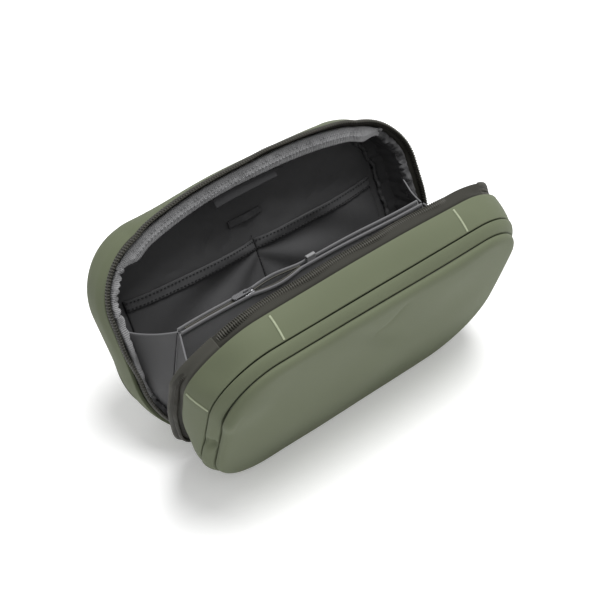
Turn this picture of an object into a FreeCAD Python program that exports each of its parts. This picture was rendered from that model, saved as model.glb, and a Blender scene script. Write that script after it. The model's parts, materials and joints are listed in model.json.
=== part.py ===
import FreeCAD, Part
import math
import os
import Sketcher

# Cable organiser pouch: a soft clamshell case that stands open in a V.
#
# Every piece of a half is drawn as if the case were closed: X runs along the hinge, Z is the height above
# the hinge line, and depth is measured outwards from the closing plane, towards -Y in the front half and +Y
# in the back half. A placement then leans each half open about the hinge line. An inset is the distance
# inside the rim's outline, and a low is the height of an outline's bottom edge above the hinge line.

DIMENSIONS = (
    # name, millimetres or degrees, what it is
    ("pouch_width", 235.0, "outside width of both halves"),
    ("pouch_height", 139.5, "height of the rim above the hinge line"),
    ("top_corner", 43.0, "radius of the rim's top corners"),
    ("bottom_corner", 54.0, "radius of the rim's bottom corners"),
    ("front_lean", 20.8, "angle of the front half from upright"),
    ("back_lean", 23.0, "angle of the back half from upright"),
    ("skin", 1.2, "coated outer fabric"),
    ("gap", 0.1, "clearance between sewn layers"),
    ("lining", 0.8, "lining fabric"),
    ("wall_start", 5.0, "depth where the outer wall meets the zip tape"),
    ("rim_inset", 0.0, "inset of the wall at the rim"),
    ("rim_low", 0.0, "low of the wall at the rim"),
    ("front_seam_depth", 22.5, "depth of the seam between wall and edge band"),
    ("front_seam_inset", 4.5, "inset of that seam"),
    ("front_seam_low", 1.5, "low of that seam"),
    ("front_edge_depth", 29.6, "depth of the seam between edge band and panel"),
    ("front_edge_inset", 9.0, "inset of that seam"),
    ("front_edge_low", 3.5, "low of that seam"),
    ("back_seam_depth", 30.0, "depth of the seam between wall and edge band"),
    ("back_seam_inset", 1.5, "inset of that seam"),
    ("back_seam_low", 5.0, "low of that seam"),
    ("back_edge_depth", 37.0, "depth of the seam between edge band and panel"),
    ("back_edge_inset", 8.0, "inset of that seam"),
    ("back_edge_low", 12.0, "low of that seam"),
    ("seam_step", 1.0, "how far a panel sits inside its seam"),
    ("panel_thickness", 3.0, "padded outer face"),
    ("panel_round", 2.4, "rounded edge of the outer face"),
    ("foam", 2.0, "padding board"),
    ("foam_margin", 2.5, "how far the board stops short of the band"),
    ("lining_start", 9.4, "depth where the lining starts"),
    ("lining_inset", 1.4, "inset of the lining behind the wall"),
    ("lining_edge_back", 2.6, "how far the lining's floor lies inside the panel's seam"),
    ("tape_start", 0.9, "depth of the zip tape's edge"),
    ("tape_end", 9.2, "depth where the tape ends under the wall"),
    ("tape_inset", 1.3, "inset of the tape's outer face"),
    ("tape_end_inset", 2.5, "inset of that face where the tape ends under the tapering wall"),
    ("tape", 0.6, "zip tape"),
    ("coil_depth", 2.1, "depth of the middle of the coil"),
    ("coil_inset", 3.15, "inset of the middle of the coil"),
    ("coil_radius", 1.2, "radius of the coil"),
    ("zip_end_angle", 30.0, "where the zip ends, round a bottom corner from its lowest point"),
    ("zip_cut_height", 30.0, "height below which the rim's strips are cut away between the zip's ends"),
    ("hem_start", 3.6, "depth of the inner hem's edge"),
    ("hem_end", 9.3, "depth of the hem's other edge"),
    ("hem_inset", 2.3, "inset of the hem's outer face"),
    ("hem_end_inset", 3.5, "inset of that face at the hem's other edge"),
    ("hem", 0.9, "inner hem"),
    ("flange_low", 121.0, "height where the top flange gives way to the side hems"),
    ("stop_angle", 28.5, "where the crimped zip stops are, round a bottom corner"),
    ("stop_size", 2.0, "each way"),
    ("slider_angle", 37.0, "where the slider is parked, round the right bottom corner"),
    ("slider_turn", 6.0, "angle from the slider's middle to its end, round the same corner"),
    ("slider_width", 8.6, "width of the slider across the zip"),
    ("slider_plate", 1.2, "each plate of the slider"),
    ("slider_clearance", 0.2, "running clearance of the slider"),
    ("slider_post", 1.2, "post between the slider's plates"),
    ("bail_window", 1.7, "height of the opening under the bail"),
    ("bail_wire", 0.8, "thickness of the bail"),
    ("bail_width", 1.8, "width of the bail"),
    ("pull_pin", 0.6, "radius of the pull's pin"),
    ("pull_length", 15.0, "pin to tip of the main pull"),
    ("pull_width", 6.4, "width of the main pull"),
    ("pull_thickness", 1.3, "thickness of the main pull"),
    ("pocket_top", 86.0, "height of the pockets' mouths"),
    ("pocket_bottom", 31.0, "height of the pockets' bottoms"),
    ("pocket_side", 97.0, "half the width over both pockets"),
    ("pocket_middle", 1.5, "half the gap between the pockets"),
    ("pocket_mouth", 6.6, "how far a pocket's mouth stands off the lining"),
    ("pocket_hem_height", 7.0, "elastic hem of a pocket"),
    ("loop_width", 25.0, "webbing key loop"),
    ("loop_height", 6.0, "webbing key loop, across"),
    ("loop_level", 106.0, "height of the key loop"),
    ("loop_rise", 3.0, "how far the loop stands off the lining"),
    ("label_width", 50.0, "plain label"),
    ("label_height", 10.0, "plain label"),
    ("label_top", 135.5, "height of the label's top edge"),
    ("label_depth", 12.4, "depth of the label"),
    ("bartack_x", 67.0, "where the top bartacks cross the wall"),
    ("bartack_turn", 75.0, "angle from a top bartack to its side one, round the top corner"),
    ("bartack_start", 7.0, "depth where a bartack starts"),
    ("bartack_end", 21.5, "depth where a bartack ends"),
    ("bartack_width", 1.6, "width of a bartack"),
    ("bartack_rise", 0.5, "how far a bartack stands out"),
    ("divider_top", 93.0, "height of the divider above the hinge line"),
    ("divider_low", 7.0, "height of the divider's bottom edge"),
    ("divider_top_half", 92.0, "half the divider's width at its top"),
    ("divider_side_half", 102.0, "half its width at the foot of its slanted sides"),
    ("divider_side_level", 56.0, "height of the foot of the slanted sides"),
    ("divider_half", 2.5, "half the divider's thickness"),
    ("divider_sheet", 0.6, "each sheet of the divider"),
    ("divider_sheet_drop", 1.0, "how far a sheet stops under its bound edge's top"),
    ("divider_board", 1.0, "stiffener inside the divider"),
    ("divider_board_drop", 11.0, "how far the stiffener stops below the divider's top"),
    ("divider_board_margin", 4.0, "how far it stops short of the divider's sides and bottom"),
    ("binding_height", 5.0, "bound edge of the divider"),
    ("binding_half", 0.7, "half the thickness of a bound edge"),
    ("divider_zip_end", 88.0, "left end of the divider's zip, from the middle"),
    ("divider_zip_start", 5.0, "right end of the divider's zip, from the middle"),
    ("divider_coil", 0.5, "radius of the divider zip's coils"),
    ("divider_coil_gap", 0.85, "half the distance between those coils"),
    ("divider_coil_drop", 0.8, "how far they lie below the divider's top"),
    ("divider_slider_x", 43.0, "where the divider's slider is, left of the middle"),
    ("divider_slider_length", 7.0, "length of the divider's slider"),
    ("divider_slider_width", 4.8, "width of the divider's slider"),
    ("divider_slider_plate", 0.8, "each plate of that slider"),
    ("divider_slider_foot", 2.4, "width of its lower plate, between the bound edges"),
    ("divider_slider_post", 0.4, "post between its plates"),
    ("divider_pull_length", 11.0, "pin to tip of the divider's pull"),
    ("divider_pull_width", 4.0, "width of that pull"),
    ("divider_pull_thickness", 1.0, "thickness of that pull"),
    ("divider_pull_pin", 0.45, "radius of its pin"),
    ("wing", 0.6, "gusset fabric"),
    ("wing_divider_top", 90.0, "height of a wing's inner end"),
    ("wing_divider_low", 30.0, "height of the foot of that end"),
    ("wing_divider_gap", 1.5, "how far a wing's inner end stands off the divider's side and face"),
    ("wing_top", 86.0, "height of a wing's end on the side wall"),
    ("wing_low", 24.0, "height of the foot of that end"),
    ("wing_depth", 11.0, "depth of a wing's end on the side wall"),
    ("wing_inset", 7.2, "inset of a wing's end on the side wall"),
    ("strip", 1.0, "fabric of the hinge"),
    ("strip_half", 66.0, "half the length of the hinge's fabric"),
    ("end_tab_from", 4.0, "where a zip's end tab starts, round a bottom corner"),
    ("end_tab_to", 26.5, "where it ends"),
    ("divider_tab_width", 9.0, "folded webbing tab"),
    ("divider_tab_height", 6.0, "how far the tab stands above the divider"),
    ("divider_tab_x", 4.0, "where the tab is"),
)

FRONT = "front"
BACK = "back"
OUTWARD = {FRONT: -1, BACK: 1}

doc = FreeCAD.newDocument("CableOrganiserPouch")


def make_sheet():
    sheet = doc.addObject("Spreadsheet::Sheet", "Sizes")
    for row, (name, value, meaning) in enumerate(DIMENSIONS, start=1):
        sheet.set("A%d" % row, name)
        sheet.set("B%d" % row, str(value))
        sheet.set("C%d" % row, meaning)
        sheet.setAlias("B%d" % row, name)
    doc.recompute()
    return sheet


SHEET = make_sheet()


def size(name):
    """One cell of the sheet, in millimetres or degrees."""
    return float(SHEET.get(name))


def rim_point(angle_name, inset=0.0):
    """Where the rim is, round the right bottom corner from its lowest point: X and height."""
    angle = math.radians(size(angle_name))
    radius = size("bottom_corner") - inset
    middle = size("pouch_width") / 2 - size("bottom_corner")
    return middle + radius * math.sin(angle), size("bottom_corner") - radius * math.cos(angle)


def add_up(*names):
    """Cells added up, or taken away after a minus sign: an expression and its value."""
    text = ""
    value = 0.0
    for name in names:
        minus = name.startswith("-")
        cell = name.lstrip("-")
        text += (" - " if minus else " + ") + "Sizes." + cell
        value += -size(cell) if minus else size(cell)
    return text.strip(" +"), value


# ---------------------------------------------------------------- sketches and features


def new_body(name):
    body = doc.addObject("PartDesign::Body", name)
    body.Label = name
    return body


def plane_sketch(body, name, role, offset):
    """An empty sketch on one of the body's origin planes, moved along the plane's normal."""
    sketch = body.newObject("Sketcher::SketchObject", name)
    plane = [p for p in body.Origin.OriginFeatures if p.Role == role][0]
    sketch.AttachmentSupport = [(plane, "")]
    sketch.MapMode = "FlatFace"
    sketch.setExpression("AttachmentOffset.Base.z", offset)
    return sketch


def half_sketch(body, name, half, *depth):
    """An empty upright sketch, `depth` outwards from the closing plane."""
    text = add_up(*depth)[0]
    # the upright plane's normal is -Y, so a positive offset is outwards in the front half
    return plane_sketch(body, name, "XZ_Plane", text if half == FRONT else "-(%s)" % text)


def bind(sketch, constraint, name, text):
    """Adds a dimension to a sketch and ties it to the sheet."""
    index = sketch.addConstraint(constraint)
    sketch.renameConstraint(index, name)
    sketch.setExpression("Constraints." + name, text)


def arc(x, z, radius, start, end):
    circle = Part.Circle(FreeCAD.Vector(x, z, 0), FreeCAD.Vector(0, 0, 1), radius)
    return Part.ArcOfCircle(circle, math.radians(start), math.radians(end))


def segment(x1, z1, x2, z2):
    return Part.LineSegment(FreeCAD.Vector(x1, z1, 0), FreeCAD.Vector(x2, z2, 0))


def outline(body, name, half, depth, inset, low):
    """A half's outline: two large rounded corners on top, two at the bottom, symmetric about X = 0.

    depth, inset and low are tuples of the cells that add up to them.
    """
    sketch = half_sketch(body, name, half, *depth)
    minus_inset = ["-" + n if not n.startswith("-") else n[1:] for n in inset]
    half_text, half_width = add_up("pouch_width")[0] + " / 2", size("pouch_width") / 2
    side_text = "%s - (%s)" % (half_text, add_up(*inset)[0])
    side = half_width - add_up(*inset)[1]
    top_text, top = add_up("pouch_height", *minus_inset)
    low_text, bottom = add_up(*low)
    upper_text, upper = add_up("top_corner", *minus_inset)
    lower_text, lower = add_up("bottom_corner", *minus_inset)
    sketch.addGeometry(segment(-side + lower, bottom, side - lower, bottom))
    sketch.addGeometry(arc(side - lower, bottom + lower, lower, 270, 360))
    sketch.addGeometry(segment(side, bottom + lower, side, top - upper))
    sketch.addGeometry(arc(side - upper, top - upper, upper, 0, 90))
    sketch.addGeometry(segment(side - upper, top, -side + upper, top))
    sketch.addGeometry(arc(-side + upper, top - upper, upper, 90, 180))
    sketch.addGeometry(segment(-side, top - upper, -side, bottom + lower))
    sketch.addGeometry(arc(-side + lower, bottom + lower, lower, 180, 270))
    for edge in range(8):
        sketch.addConstraint(Sketcher.Constraint("Tangent", edge, 2, (edge + 1) % 8, 1))
    for edge in (0, 4):
        sketch.addConstraint(Sketcher.Constraint("Horizontal", edge))
    for edge in (2, 6):
        sketch.addConstraint(Sketcher.Constraint("Vertical", edge))
    sketch.addConstraint(Sketcher.Constraint("Equal", 1, 7))
    sketch.addConstraint(Sketcher.Constraint("Equal", 3, 5))
    bind(sketch, Sketcher.Constraint("Radius", 1, lower), "lower_corner", lower_text)
    bind(sketch, Sketcher.Constraint("Radius", 3, upper), "upper_corner", upper_text)
    bind(sketch, Sketcher.Constraint("DistanceX", -1, 1, 2, 1, side), "right_side", side_text)
    bind(sketch, Sketcher.Constraint("DistanceX", 6, 1, -1, 1, side), "left_side", side_text)
    bind(sketch, Sketcher.Constraint("DistanceY", -1, 1, 4, 1, top), "top", top_text)
    if bottom:
        bind(sketch, Sketcher.Constraint("DistanceY", -1, 1, 0, 1, bottom), "bottom", low_text)
    else:
        sketch.addConstraint(Sketcher.Constraint("PointOnObject", 0, 1, -1))
    return sketch


def polygon(sketch, points):
    """A closed polygon. Each point is two pairs, each an expression and its value."""
    for here, there in zip(points, points[1:] + points[:1]):
        sketch.addGeometry(segment(here[0][1], here[1][1], there[0][1], there[1][1]))
    for edge, (across, along) in enumerate(points):
        sketch.addConstraint(Sketcher.Constraint("Coincident", edge, 2, (edge + 1) % len(points), 1))
        to_side = Sketcher.Constraint("DistanceX", -1, 1, edge, 1, across[1])
        bind(sketch, to_side, "across%d" % edge, across[0])
        bind(sketch, Sketcher.Constraint("DistanceY", -1, 1, edge, 1, along[1]), "along%d" % edge, along[0])
    return sketch


def rectangle(sketch, left, right, bottom, top):
    return polygon(sketch, [(left, bottom), (right, bottom), (right, top), (left, top)])


def minus(length):
    """A length turned round: an expression and its value."""
    return "-(%s)" % length[0], -length[1]


def loft(body, kind, name, sketches):
    feature = body.newObject(kind, name)
    feature.Profile = sketches[0]
    feature.Sections = sketches[1:]
    feature.Ruled = True
    return feature


def pad(body, name, half, sketch, *thickness):
    """Thickens a sketch outwards."""
    feature = body.newObject("PartDesign::Pad", name)
    feature.Profile = sketch
    feature.setExpression("Length", add_up(*thickness)[0])
    feature.Reversed = half == BACK
    return feature


def cut_through(body, name, sketch):
    """Cuts a sketch through everything, both ways."""
    feature = body.newObject("PartDesign::Pocket", name)
    feature.Profile = sketch
    feature.Type = "ThroughAll"
    feature.Midplane = True
    return feature


def ring(name, half, stations, *thickness):
    """A strip that goes all the way round a half. stations are (depth, inset, low) of its outer face."""
    body = new_body(name)
    outer = [outline(body, "Outer%d" % n, half, *station) for n, station in enumerate(stations)]
    loft(body, "PartDesign::AdditiveLoft", "Outside", outer)
    inner = [
        outline(body, "Inner%d" % n, half, depth, inset + thickness, low + thickness)
        for n, (depth, inset, low) in enumerate(stations)
    ]
    loft(body, "PartDesign::SubtractiveLoft", "Inside", inner)
    return body


def keep_off_hinge(body, half):
    """Cuts a rim strip away between the two ends of the zip, along the hinge."""
    reach = rim_point("zip_end_angle")[0]
    text = "Sizes.pouch_width / 2 - Sizes.bottom_corner * (1 - sin(Sizes.zip_end_angle * 1deg))"
    sketch = half_sketch(body, "Hinge", half, "tape_start")
    rectangle(sketch, ("-(%s)" % text, -reach), (text, reach), minus(add_up("wall_start")),
              add_up("zip_cut_height"))
    cut_through(body, "HingeGap", sketch)


# ---------------------------------------------------------------- the two halves


def seam(half, place):
    """(depth, inset, low) of a seam: "seam" between wall and edge band, "edge" between band and panel."""
    return tuple(("%s_%s_%s" % (half, place, part),) for part in ("depth", "inset", "low"))


def wall(half):
    rim = (("wall_start",), ("rim_inset",), ("rim_low",))
    return ring(half + "_wall", half, (rim, seam(half, "seam")), "skin")


def edge_band(half):
    return ring(half + "_edge_band", half, (seam(half, "seam"), seam(half, "edge")), "skin")


def panel(half):
    """The padded outer face, a plate with a rounded edge, set in the edge band."""
    body = new_body(half + "_panel")
    depth, inset, low = seam(half, "edge")
    sketch = outline(body, "Face", half, depth + ("gap",), inset + ("seam_step",), low + ("seam_step",))
    plate = pad(body, "Plate", half, sketch, "panel_thickness")
    doc.recompute()
    outer = OUTWARD[half] * (size(depth[0]) + size("gap") + size("panel_thickness"))
    rim = ["Edge%d" % (n + 1) for n, edge in enumerate(plate.Shape.Edges)
           if abs(edge.BoundBox.YMin - outer) < 0.01 and abs(edge.BoundBox.YMax - outer) < 0.01]
    rounding = body.newObject("PartDesign::Fillet", "Rounding")
    rounding.Base = (plate, rim)
    rounding.setExpression("Radius", "Sizes.panel_round")
    return body


def foam(half):
    """The padding board behind the outer face."""
    body = new_body(half + "_foam")
    depth, inset, low = seam(half, "edge")
    margin = ("seam_step", "foam_margin")
    sketch = outline(body, "Board", half, depth + ("-foam", "-gap"), inset + margin, low + margin)
    pad(body, "Padding", half, sketch, "foam")
    return body


def lining(half):
    """A tray of lining fabric: sides just inside the wall, and a floor in front of the padding board."""
    body = new_body(half + "_lining")
    seam_depth, seam_inset, seam_low = seam(half, "seam")
    edge_depth, edge_inset, edge_low = seam(half, "edge")
    start = (("lining_start",), seam_inset + ("lining_inset",), seam_low + ("lining_inset",))
    middle = (seam_depth, seam_inset + ("lining_inset", "gap"), seam_low + ("lining_inset", "gap"))
    floor_depth = edge_depth + ("-lining_edge_back",)
    floor = (floor_depth, edge_inset + ("lining_inset", "gap"), edge_low + ("lining_inset", "gap"))
    outer = [outline(body, "Outer%d" % n, half, *s) for n, s in enumerate((start, middle, floor))]
    loft(body, "PartDesign::AdditiveLoft", "Outside", outer)
    inner_floor = (floor_depth + ("-lining",), floor[1], floor[2])
    inner = [
        outline(body, "Inner%d" % n, half, depth, inset + ("lining",), low + ("lining",))
        for n, (depth, inset, low) in enumerate((start, middle, inner_floor))
    ]
    loft(body, "PartDesign::SubtractiveLoft", "Inside", inner)
    return body


def rim_strip(name, half, start, end, inset, end_inset, *thickness):
    """A strip just inside the rim, open along the hinge. It leans inwards under the wall."""
    stations = (
        ((start,), (inset,), (inset,)),
        (("wall_start",), (inset,), (inset,)),
        ((end,), (end_inset,), (end_inset,)),
    )
    body = ring(name, half, stations, *thickness)
    keep_off_hinge(body, half)
    return body


def zip_tape(half):
    name = half + "_zip_tape"
    return rim_strip(name, half, "tape_start", "tape_end", "tape_inset", "tape_end_inset", "tape")


def hem_part(name, half, *cuts):
    """The stretch of the inner hem that lies outside some rectangles, each left, right, bottom and top."""
    body = rim_strip(name, half, "hem_start", "hem_end", "hem_inset", "hem_end_inset", "hem")
    for number, cut in enumerate(cuts):
        sketch = half_sketch(body, "Away%d" % number, half, "hem_start")
        rectangle(sketch, *cut)
        cut_through(body, "CutAway%d" % number, sketch)
    return body


def inner_hems(half):
    """The knitted flange along the top, and the gathered hem down each side."""
    right = add_up("pouch_width")
    left = minus(right)
    middle = ("0", 0.0)
    level = add_up("flange_low")
    over = add_up("pouch_height", "pouch_height")
    under = minus(over)
    flange = hem_part(half + "_top_flange", half, (left, right, under, level))
    left_hem = hem_part(half + "_hem_left", half, (left, right, level, over), (middle, right, under, over))
    right_hem = hem_part(half + "_hem_right", half, (left, right, level, over), (left, middle, under, over))
    return [flange, left_hem, right_hem]


def shape_feature(name, shape):
    """A piece whose shape is worked out here rather than by a chain of features."""
    feature = doc.addObject("Part::Feature", name)
    feature.Label = name
    feature.Shape = shape
    return feature


def at(x, depth, height, half):
    """A point of a half, closed."""
    return FreeCAD.Vector(x, OUTWARD[half] * depth, height)


def rim_path(half, depth, inset, end_angle):
    """The rim's line from one end of the zip to the other: lines and tangent arcs, open along the hinge."""
    lower, upper = size("bottom_corner") - inset, size("top_corner") - inset
    side, top = size("pouch_width") / 2 - inset, size("pouch_height") - inset
    low_x, low_z = side - lower, inset + lower
    high_x, high_z = side - upper, top - upper
    turned = math.radians((end_angle + 90) / 2)
    start = math.radians(end_angle)

    def bottom(angle, mirror):
        return at(mirror * (low_x + lower * math.sin(angle)), depth, low_z - lower * math.cos(angle), half)

    def corner(angle, mirror):
        x = mirror * (high_x + upper * math.cos(angle))
        return at(x, depth, high_z + upper * math.sin(angle), half)

    quarter = math.pi / 2
    edges = []
    for mirror in (-1, 1):
        edges.append(Part.Arc(bottom(start, mirror), bottom(turned, mirror), bottom(quarter, mirror)))
        edges.append(Part.LineSegment(bottom(quarter, mirror), corner(0, mirror)))
        edges.append(Part.Arc(corner(0, mirror), corner(quarter / 2, mirror), corner(quarter, mirror)))
    edges.append(Part.LineSegment(corner(quarter, -1), corner(quarter, 1)))
    return Part.Wire(Part.__sortEdges__([edge.toShape() for edge in edges]))


def zip_coil(half):
    """The row of teeth on the tape's inner face, as one rod along the rim."""
    path = rim_path(half, size("coil_depth"), size("coil_inset"), size("zip_end_angle"))
    start = path.OrderedVertexes[0].Point
    tangent = path.OrderedEdges[0].tangentAt(path.OrderedEdges[0].FirstParameter)
    section = Part.Wire(Part.makeCircle(size("coil_radius"), start, tangent))
    return shape_feature(half + "_zip_coil", path.makePipeShell([section], True, False))


def zip_stops(half):
    """A crimped stop at each end of the coil."""
    edge = size("stop_size")
    x, height = rim_point("stop_angle", size("coil_inset"))
    stops = []
    for mirror in (-1, 1):
        block = Part.makeBox(edge, edge, edge, FreeCAD.Vector(-edge / 2, -edge / 2, -edge / 2))
        block.rotate(FreeCAD.Vector(), FreeCAD.Vector(0, 1, 0), -mirror * size("stop_angle"))
        block.translate(at(mirror * x, size("coil_depth"), height, half))
        stops.append(block)
    return shape_feature(half + "_zip_stops", Part.makeCompound(stops))


# ---------------------------------------------------------------- inside the back half


def pocket(side):
    """A pocket: a sheet that stands off the back lining at its mouth and meets it at its foot."""
    body = new_body("back_pocket_" + side)
    floor = ("back_edge_depth", "-lining_edge_back", "-lining", "-gap")
    sheet = "lining"
    foot, head = add_up("pocket_bottom"), add_up("pocket_top", "-pocket_hem_height", "-gap")
    points = [
        (add_up(*floor), foot),
        (add_up(*floor, "-pocket_mouth"), head),
        (add_up(*floor, "-pocket_mouth", "-" + sheet), head),
        (add_up(*floor, "-" + sheet), foot),
    ]
    return pocket_strip(body, side, points)


def pocket_hem(side):
    """The stitched elastic hem along a pocket's mouth."""
    body = new_body("back_pocket_hem_" + side)
    floor = ("back_edge_depth", "-lining_edge_back", "-lining", "-gap", "-pocket_mouth")
    low, head = add_up("pocket_top", "-pocket_hem_height"), add_up("pocket_top")
    face, back = add_up(*floor, "-hem", "-gap"), add_up(*floor, "gap")
    return pocket_strip(body, side, [(back, low), (back, head), (face, head), (face, low)])


def pocket_strip(body, side, points):
    """Pads a section of a pocket along X, over the left or right half of the pouch."""
    start = "-Sizes.pocket_side" if side == "left" else "Sizes.pocket_middle"
    sketch = plane_sketch(body, "Section", "YZ_Plane", start)
    polygon(sketch, points)
    feature = body.newObject("PartDesign::Pad", "Sheet")
    feature.Profile = sketch
    feature.setExpression("Length", "Sizes.pocket_side - Sizes.pocket_middle")
    return body


def key_loop():
    """A short webbing loop across the lining, its middle standing off it."""
    body = new_body("key_loop")
    floor = ("back_edge_depth", "-lining_edge_back", "-lining", "-gap")
    flat, raised = add_up(*floor), add_up(*floor, "-loop_rise")
    flat_face, raised_face = add_up(*floor, "-lining"), add_up(*floor, "-loop_rise", "-lining")
    end = ("Sizes.loop_width / 2", size("loop_width") / 2)
    foot = ("Sizes.loop_width / 3", size("loop_width") / 3)
    crown = ("Sizes.loop_width / 4", size("loop_width") / 4)
    sketch = plane_sketch(body, "Section", "XY_Plane", "Sizes.loop_level - Sizes.loop_height / 2")
    right = [(end, flat_face), (end, flat), (foot, flat), (crown, raised)]
    right_face = [(crown, raised_face), (foot, flat_face)]
    left = [(minus(x), y) for x, y in reversed(right)]
    left_face = [(minus(x), y) for x, y in reversed(right_face)]
    polygon(sketch, right + left + left_face + right_face)
    feature = body.newObject("PartDesign::Pad", "Webbing")
    feature.Profile = sketch
    feature.setExpression("Length", "Sizes.loop_height")
    return body


def label_tab():
    """A plain label that hangs from the top flange."""
    body = new_body("label_tab")
    sketch = half_sketch(body, "Face", BACK, "label_depth")
    half_width = ("Sizes.label_width / 2", size("label_width") / 2)
    bottom, top = add_up("label_top", "-label_height"), add_up("label_top")
    rectangle(sketch, minus(half_width), half_width, bottom, top)
    pad(body, "Plate", BACK, sketch, "strip")
    return body


# ---------------------------------------------------------------- outside the front half


def wall_bartacks():
    """Raised stitched bars across the front wall: two on top, and one round each top corner from them."""
    slope = (size("front_seam_inset") - size("rim_inset")) / (size("front_seam_depth") - size("wall_start"))
    points = []
    for depth, rise in (("bartack_start", 0), ("bartack_end", 0), ("bartack_end", 1), ("bartack_start", 1)):
        surface = size("pouch_height") - slope * (size(depth) - size("wall_start")) + size("gap") / 2
        x = size("bartack_x") - size("bartack_width") / 2
        points.append(at(x, size(depth), surface + rise * size("bartack_rise"), FRONT))
    face = Part.Face(Part.makePolygon(points + points[:1]))
    top = face.extrude(FreeCAD.Vector(size("bartack_width"), 0, 0))
    radius = size("top_corner")
    corner = at(size("pouch_width") / 2 - radius, 0, size("pouch_height") - radius, FRONT)
    side = top.copy()
    side.translate(FreeCAD.Vector(corner.x - size("bartack_x"), 0, 0))
    side.rotate(corner, FreeCAD.Vector(0, 1, 0), size("bartack_turn"))
    bars = [top, side]
    bars += [bar.mirror(FreeCAD.Vector(), FreeCAD.Vector(1, 0, 0)) for bar in (top, side)]
    return shape_feature("wall_bartacks", Part.makeCompound(bars))


# ---------------------------------------------------------------- the divider


def divider_outline(body, name, depth_text, margin, drop):
    """The divider's face: slanted sides, and round bottom corners that touch them and the bottom edge."""
    sketch = plane_sketch(body, name, "XZ_Plane", depth_text)
    edge = [] if margin is None else ["-" + margin]
    inner = [] if margin is None else [margin]
    top_x, top_z = add_up("divider_top_half", *edge), add_up("divider_top", "-" + drop)
    side_x, side_z = add_up("divider_side_half", *edge), add_up("divider_side_level")
    low = add_up("divider_low", *inner)
    length = math.hypot(side_x[1] - top_x[1], top_z[1] - side_z[1])
    lean = (side_x[1] - top_x[1]) / length
    radius = (side_z[1] - low[1]) / (1 + lean)
    middle_x = side_x[1] - radius * (top_z[1] - side_z[1]) / length
    middle_z = low[1] + radius
    turn = math.degrees(math.asin(lean))
    sketch.addGeometry(segment(-middle_x, low[1], middle_x, low[1]))
    sketch.addGeometry(arc(middle_x, middle_z, radius, 270, 360 + turn))
    sketch.addGeometry(segment(side_x[1], side_z[1], top_x[1], top_z[1]))
    sketch.addGeometry(segment(top_x[1], top_z[1], -top_x[1], top_z[1]))
    sketch.addGeometry(segment(-top_x[1], top_z[1], -side_x[1], side_z[1]))
    sketch.addGeometry(arc(-middle_x, middle_z, radius, 180 - turn, 270))
    for first, second in ((0, 1), (1, 2), (4, 5), (5, 0)):
        sketch.addConstraint(Sketcher.Constraint("Tangent", first, 2, second, 1))
    for first, second in ((2, 3), (3, 4)):
        sketch.addConstraint(Sketcher.Constraint("Coincident", first, 2, second, 1))
    sketch.addConstraint(Sketcher.Constraint("Horizontal", 0))
    bind(sketch, Sketcher.Constraint("DistanceY", -1, 1, 0, 1, low[1]), "low", low[0])
    for mirror, end in ((1, (2, 2)), (-1, (4, 1))):
        side = "right" if mirror > 0 else "left"
        across = top_x if mirror > 0 else minus(top_x)
        bind(sketch, Sketcher.Constraint("DistanceX", -1, 1, *end, across[1]), side + "_top_x", across[0])
        bind(sketch, Sketcher.Constraint("DistanceY", -1, 1, *end, top_z[1]), side + "_top_z", top_z[0])
    for mirror, end in ((1, (2, 1)), (-1, (4, 2))):
        side = "right" if mirror > 0 else "left"
        across = side_x if mirror > 0 else minus(side_x)
        bind(sketch, Sketcher.Constraint("DistanceX", -1, 1, *end, across[1]), side + "_foot_x", across[0])
        bind(sketch, Sketcher.Constraint("DistanceY", -1, 1, *end, side_z[1]), side + "_foot_z", side_z[0])
    return sketch


def divider_plate(name, depth_text, thickness, margin, drop):
    """A flat layer of the divider. It thickens towards the front from a plane at depth_text in front."""
    body = new_body(name)
    sketch = divider_outline(body, "Face", depth_text, margin, drop)
    feature = body.newObject("PartDesign::Pad", "Layer")
    feature.Profile = sketch
    feature.setExpression("Length", "Sizes." + thickness)
    return body


def divider_binding(name, side):
    """A bound edge folded over the top of a sheet: side is 1 for the back sheet, -1 for the front."""
    sheet_middle = "(Sizes.divider_half - Sizes.divider_sheet / 2)"
    fold = doc.addObject("Part::Box", name + "_fold")
    fold.setExpression("Length", "2 * Sizes.divider_top_half")
    fold.setExpression("Width", "2 * Sizes.binding_half")
    fold.setExpression("Height", "Sizes.binding_height")
    fold.setExpression("Placement.Base.x", "-Sizes.divider_top_half")
    fold.setExpression("Placement.Base.y", "%d * %s - Sizes.binding_half" % (side, sheet_middle))
    fold.setExpression("Placement.Base.z", "Sizes.divider_top - Sizes.binding_height")
    slot = doc.addObject("Part::Box", name + "_slot")
    slot.setExpression("Length", "4 * Sizes.divider_top_half")
    slot.setExpression("Width", "Sizes.divider_sheet + 2 * Sizes.gap")
    slot.setExpression("Height", "Sizes.binding_height")
    slot.setExpression("Placement.Base.x", "-2 * Sizes.divider_top_half")
    slot.setExpression("Placement.Base.y",
                       "%d * %s - Sizes.divider_sheet / 2 - Sizes.gap" % (side, sheet_middle))
    slot.setExpression("Placement.Base.z",
                       "Sizes.divider_top - Sizes.divider_sheet_drop + Sizes.gap - Sizes.binding_height")
    binding = doc.addObject("Part::Cut", name)
    binding.Label = name
    binding.Base = fold
    binding.Tool = slot
    return binding


def divider_zip_coil():
    """The two rows of teeth of the divider's zip."""
    start = size("divider_zip_end")
    length = start - size("divider_zip_start")
    height = size("divider_top") - size("divider_coil_drop")
    rods = []
    for side in (-1, 1):
        end = FreeCAD.Vector(-start, side * size("divider_coil_gap"), height)
        rods.append(Part.makeCylinder(size("divider_coil"), length, end, FreeCAD.Vector(1, 0, 0)))
    return shape_feature("divider_zip_coil", Part.makeCompound(rods))


def centred_box(length, width, height, x, y, z):
    """A box by its middle in X and Y and its lowest height."""
    return Part.makeBox(length, width, height, FreeCAD.Vector(x - length / 2, y - width / 2, z))


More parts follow.
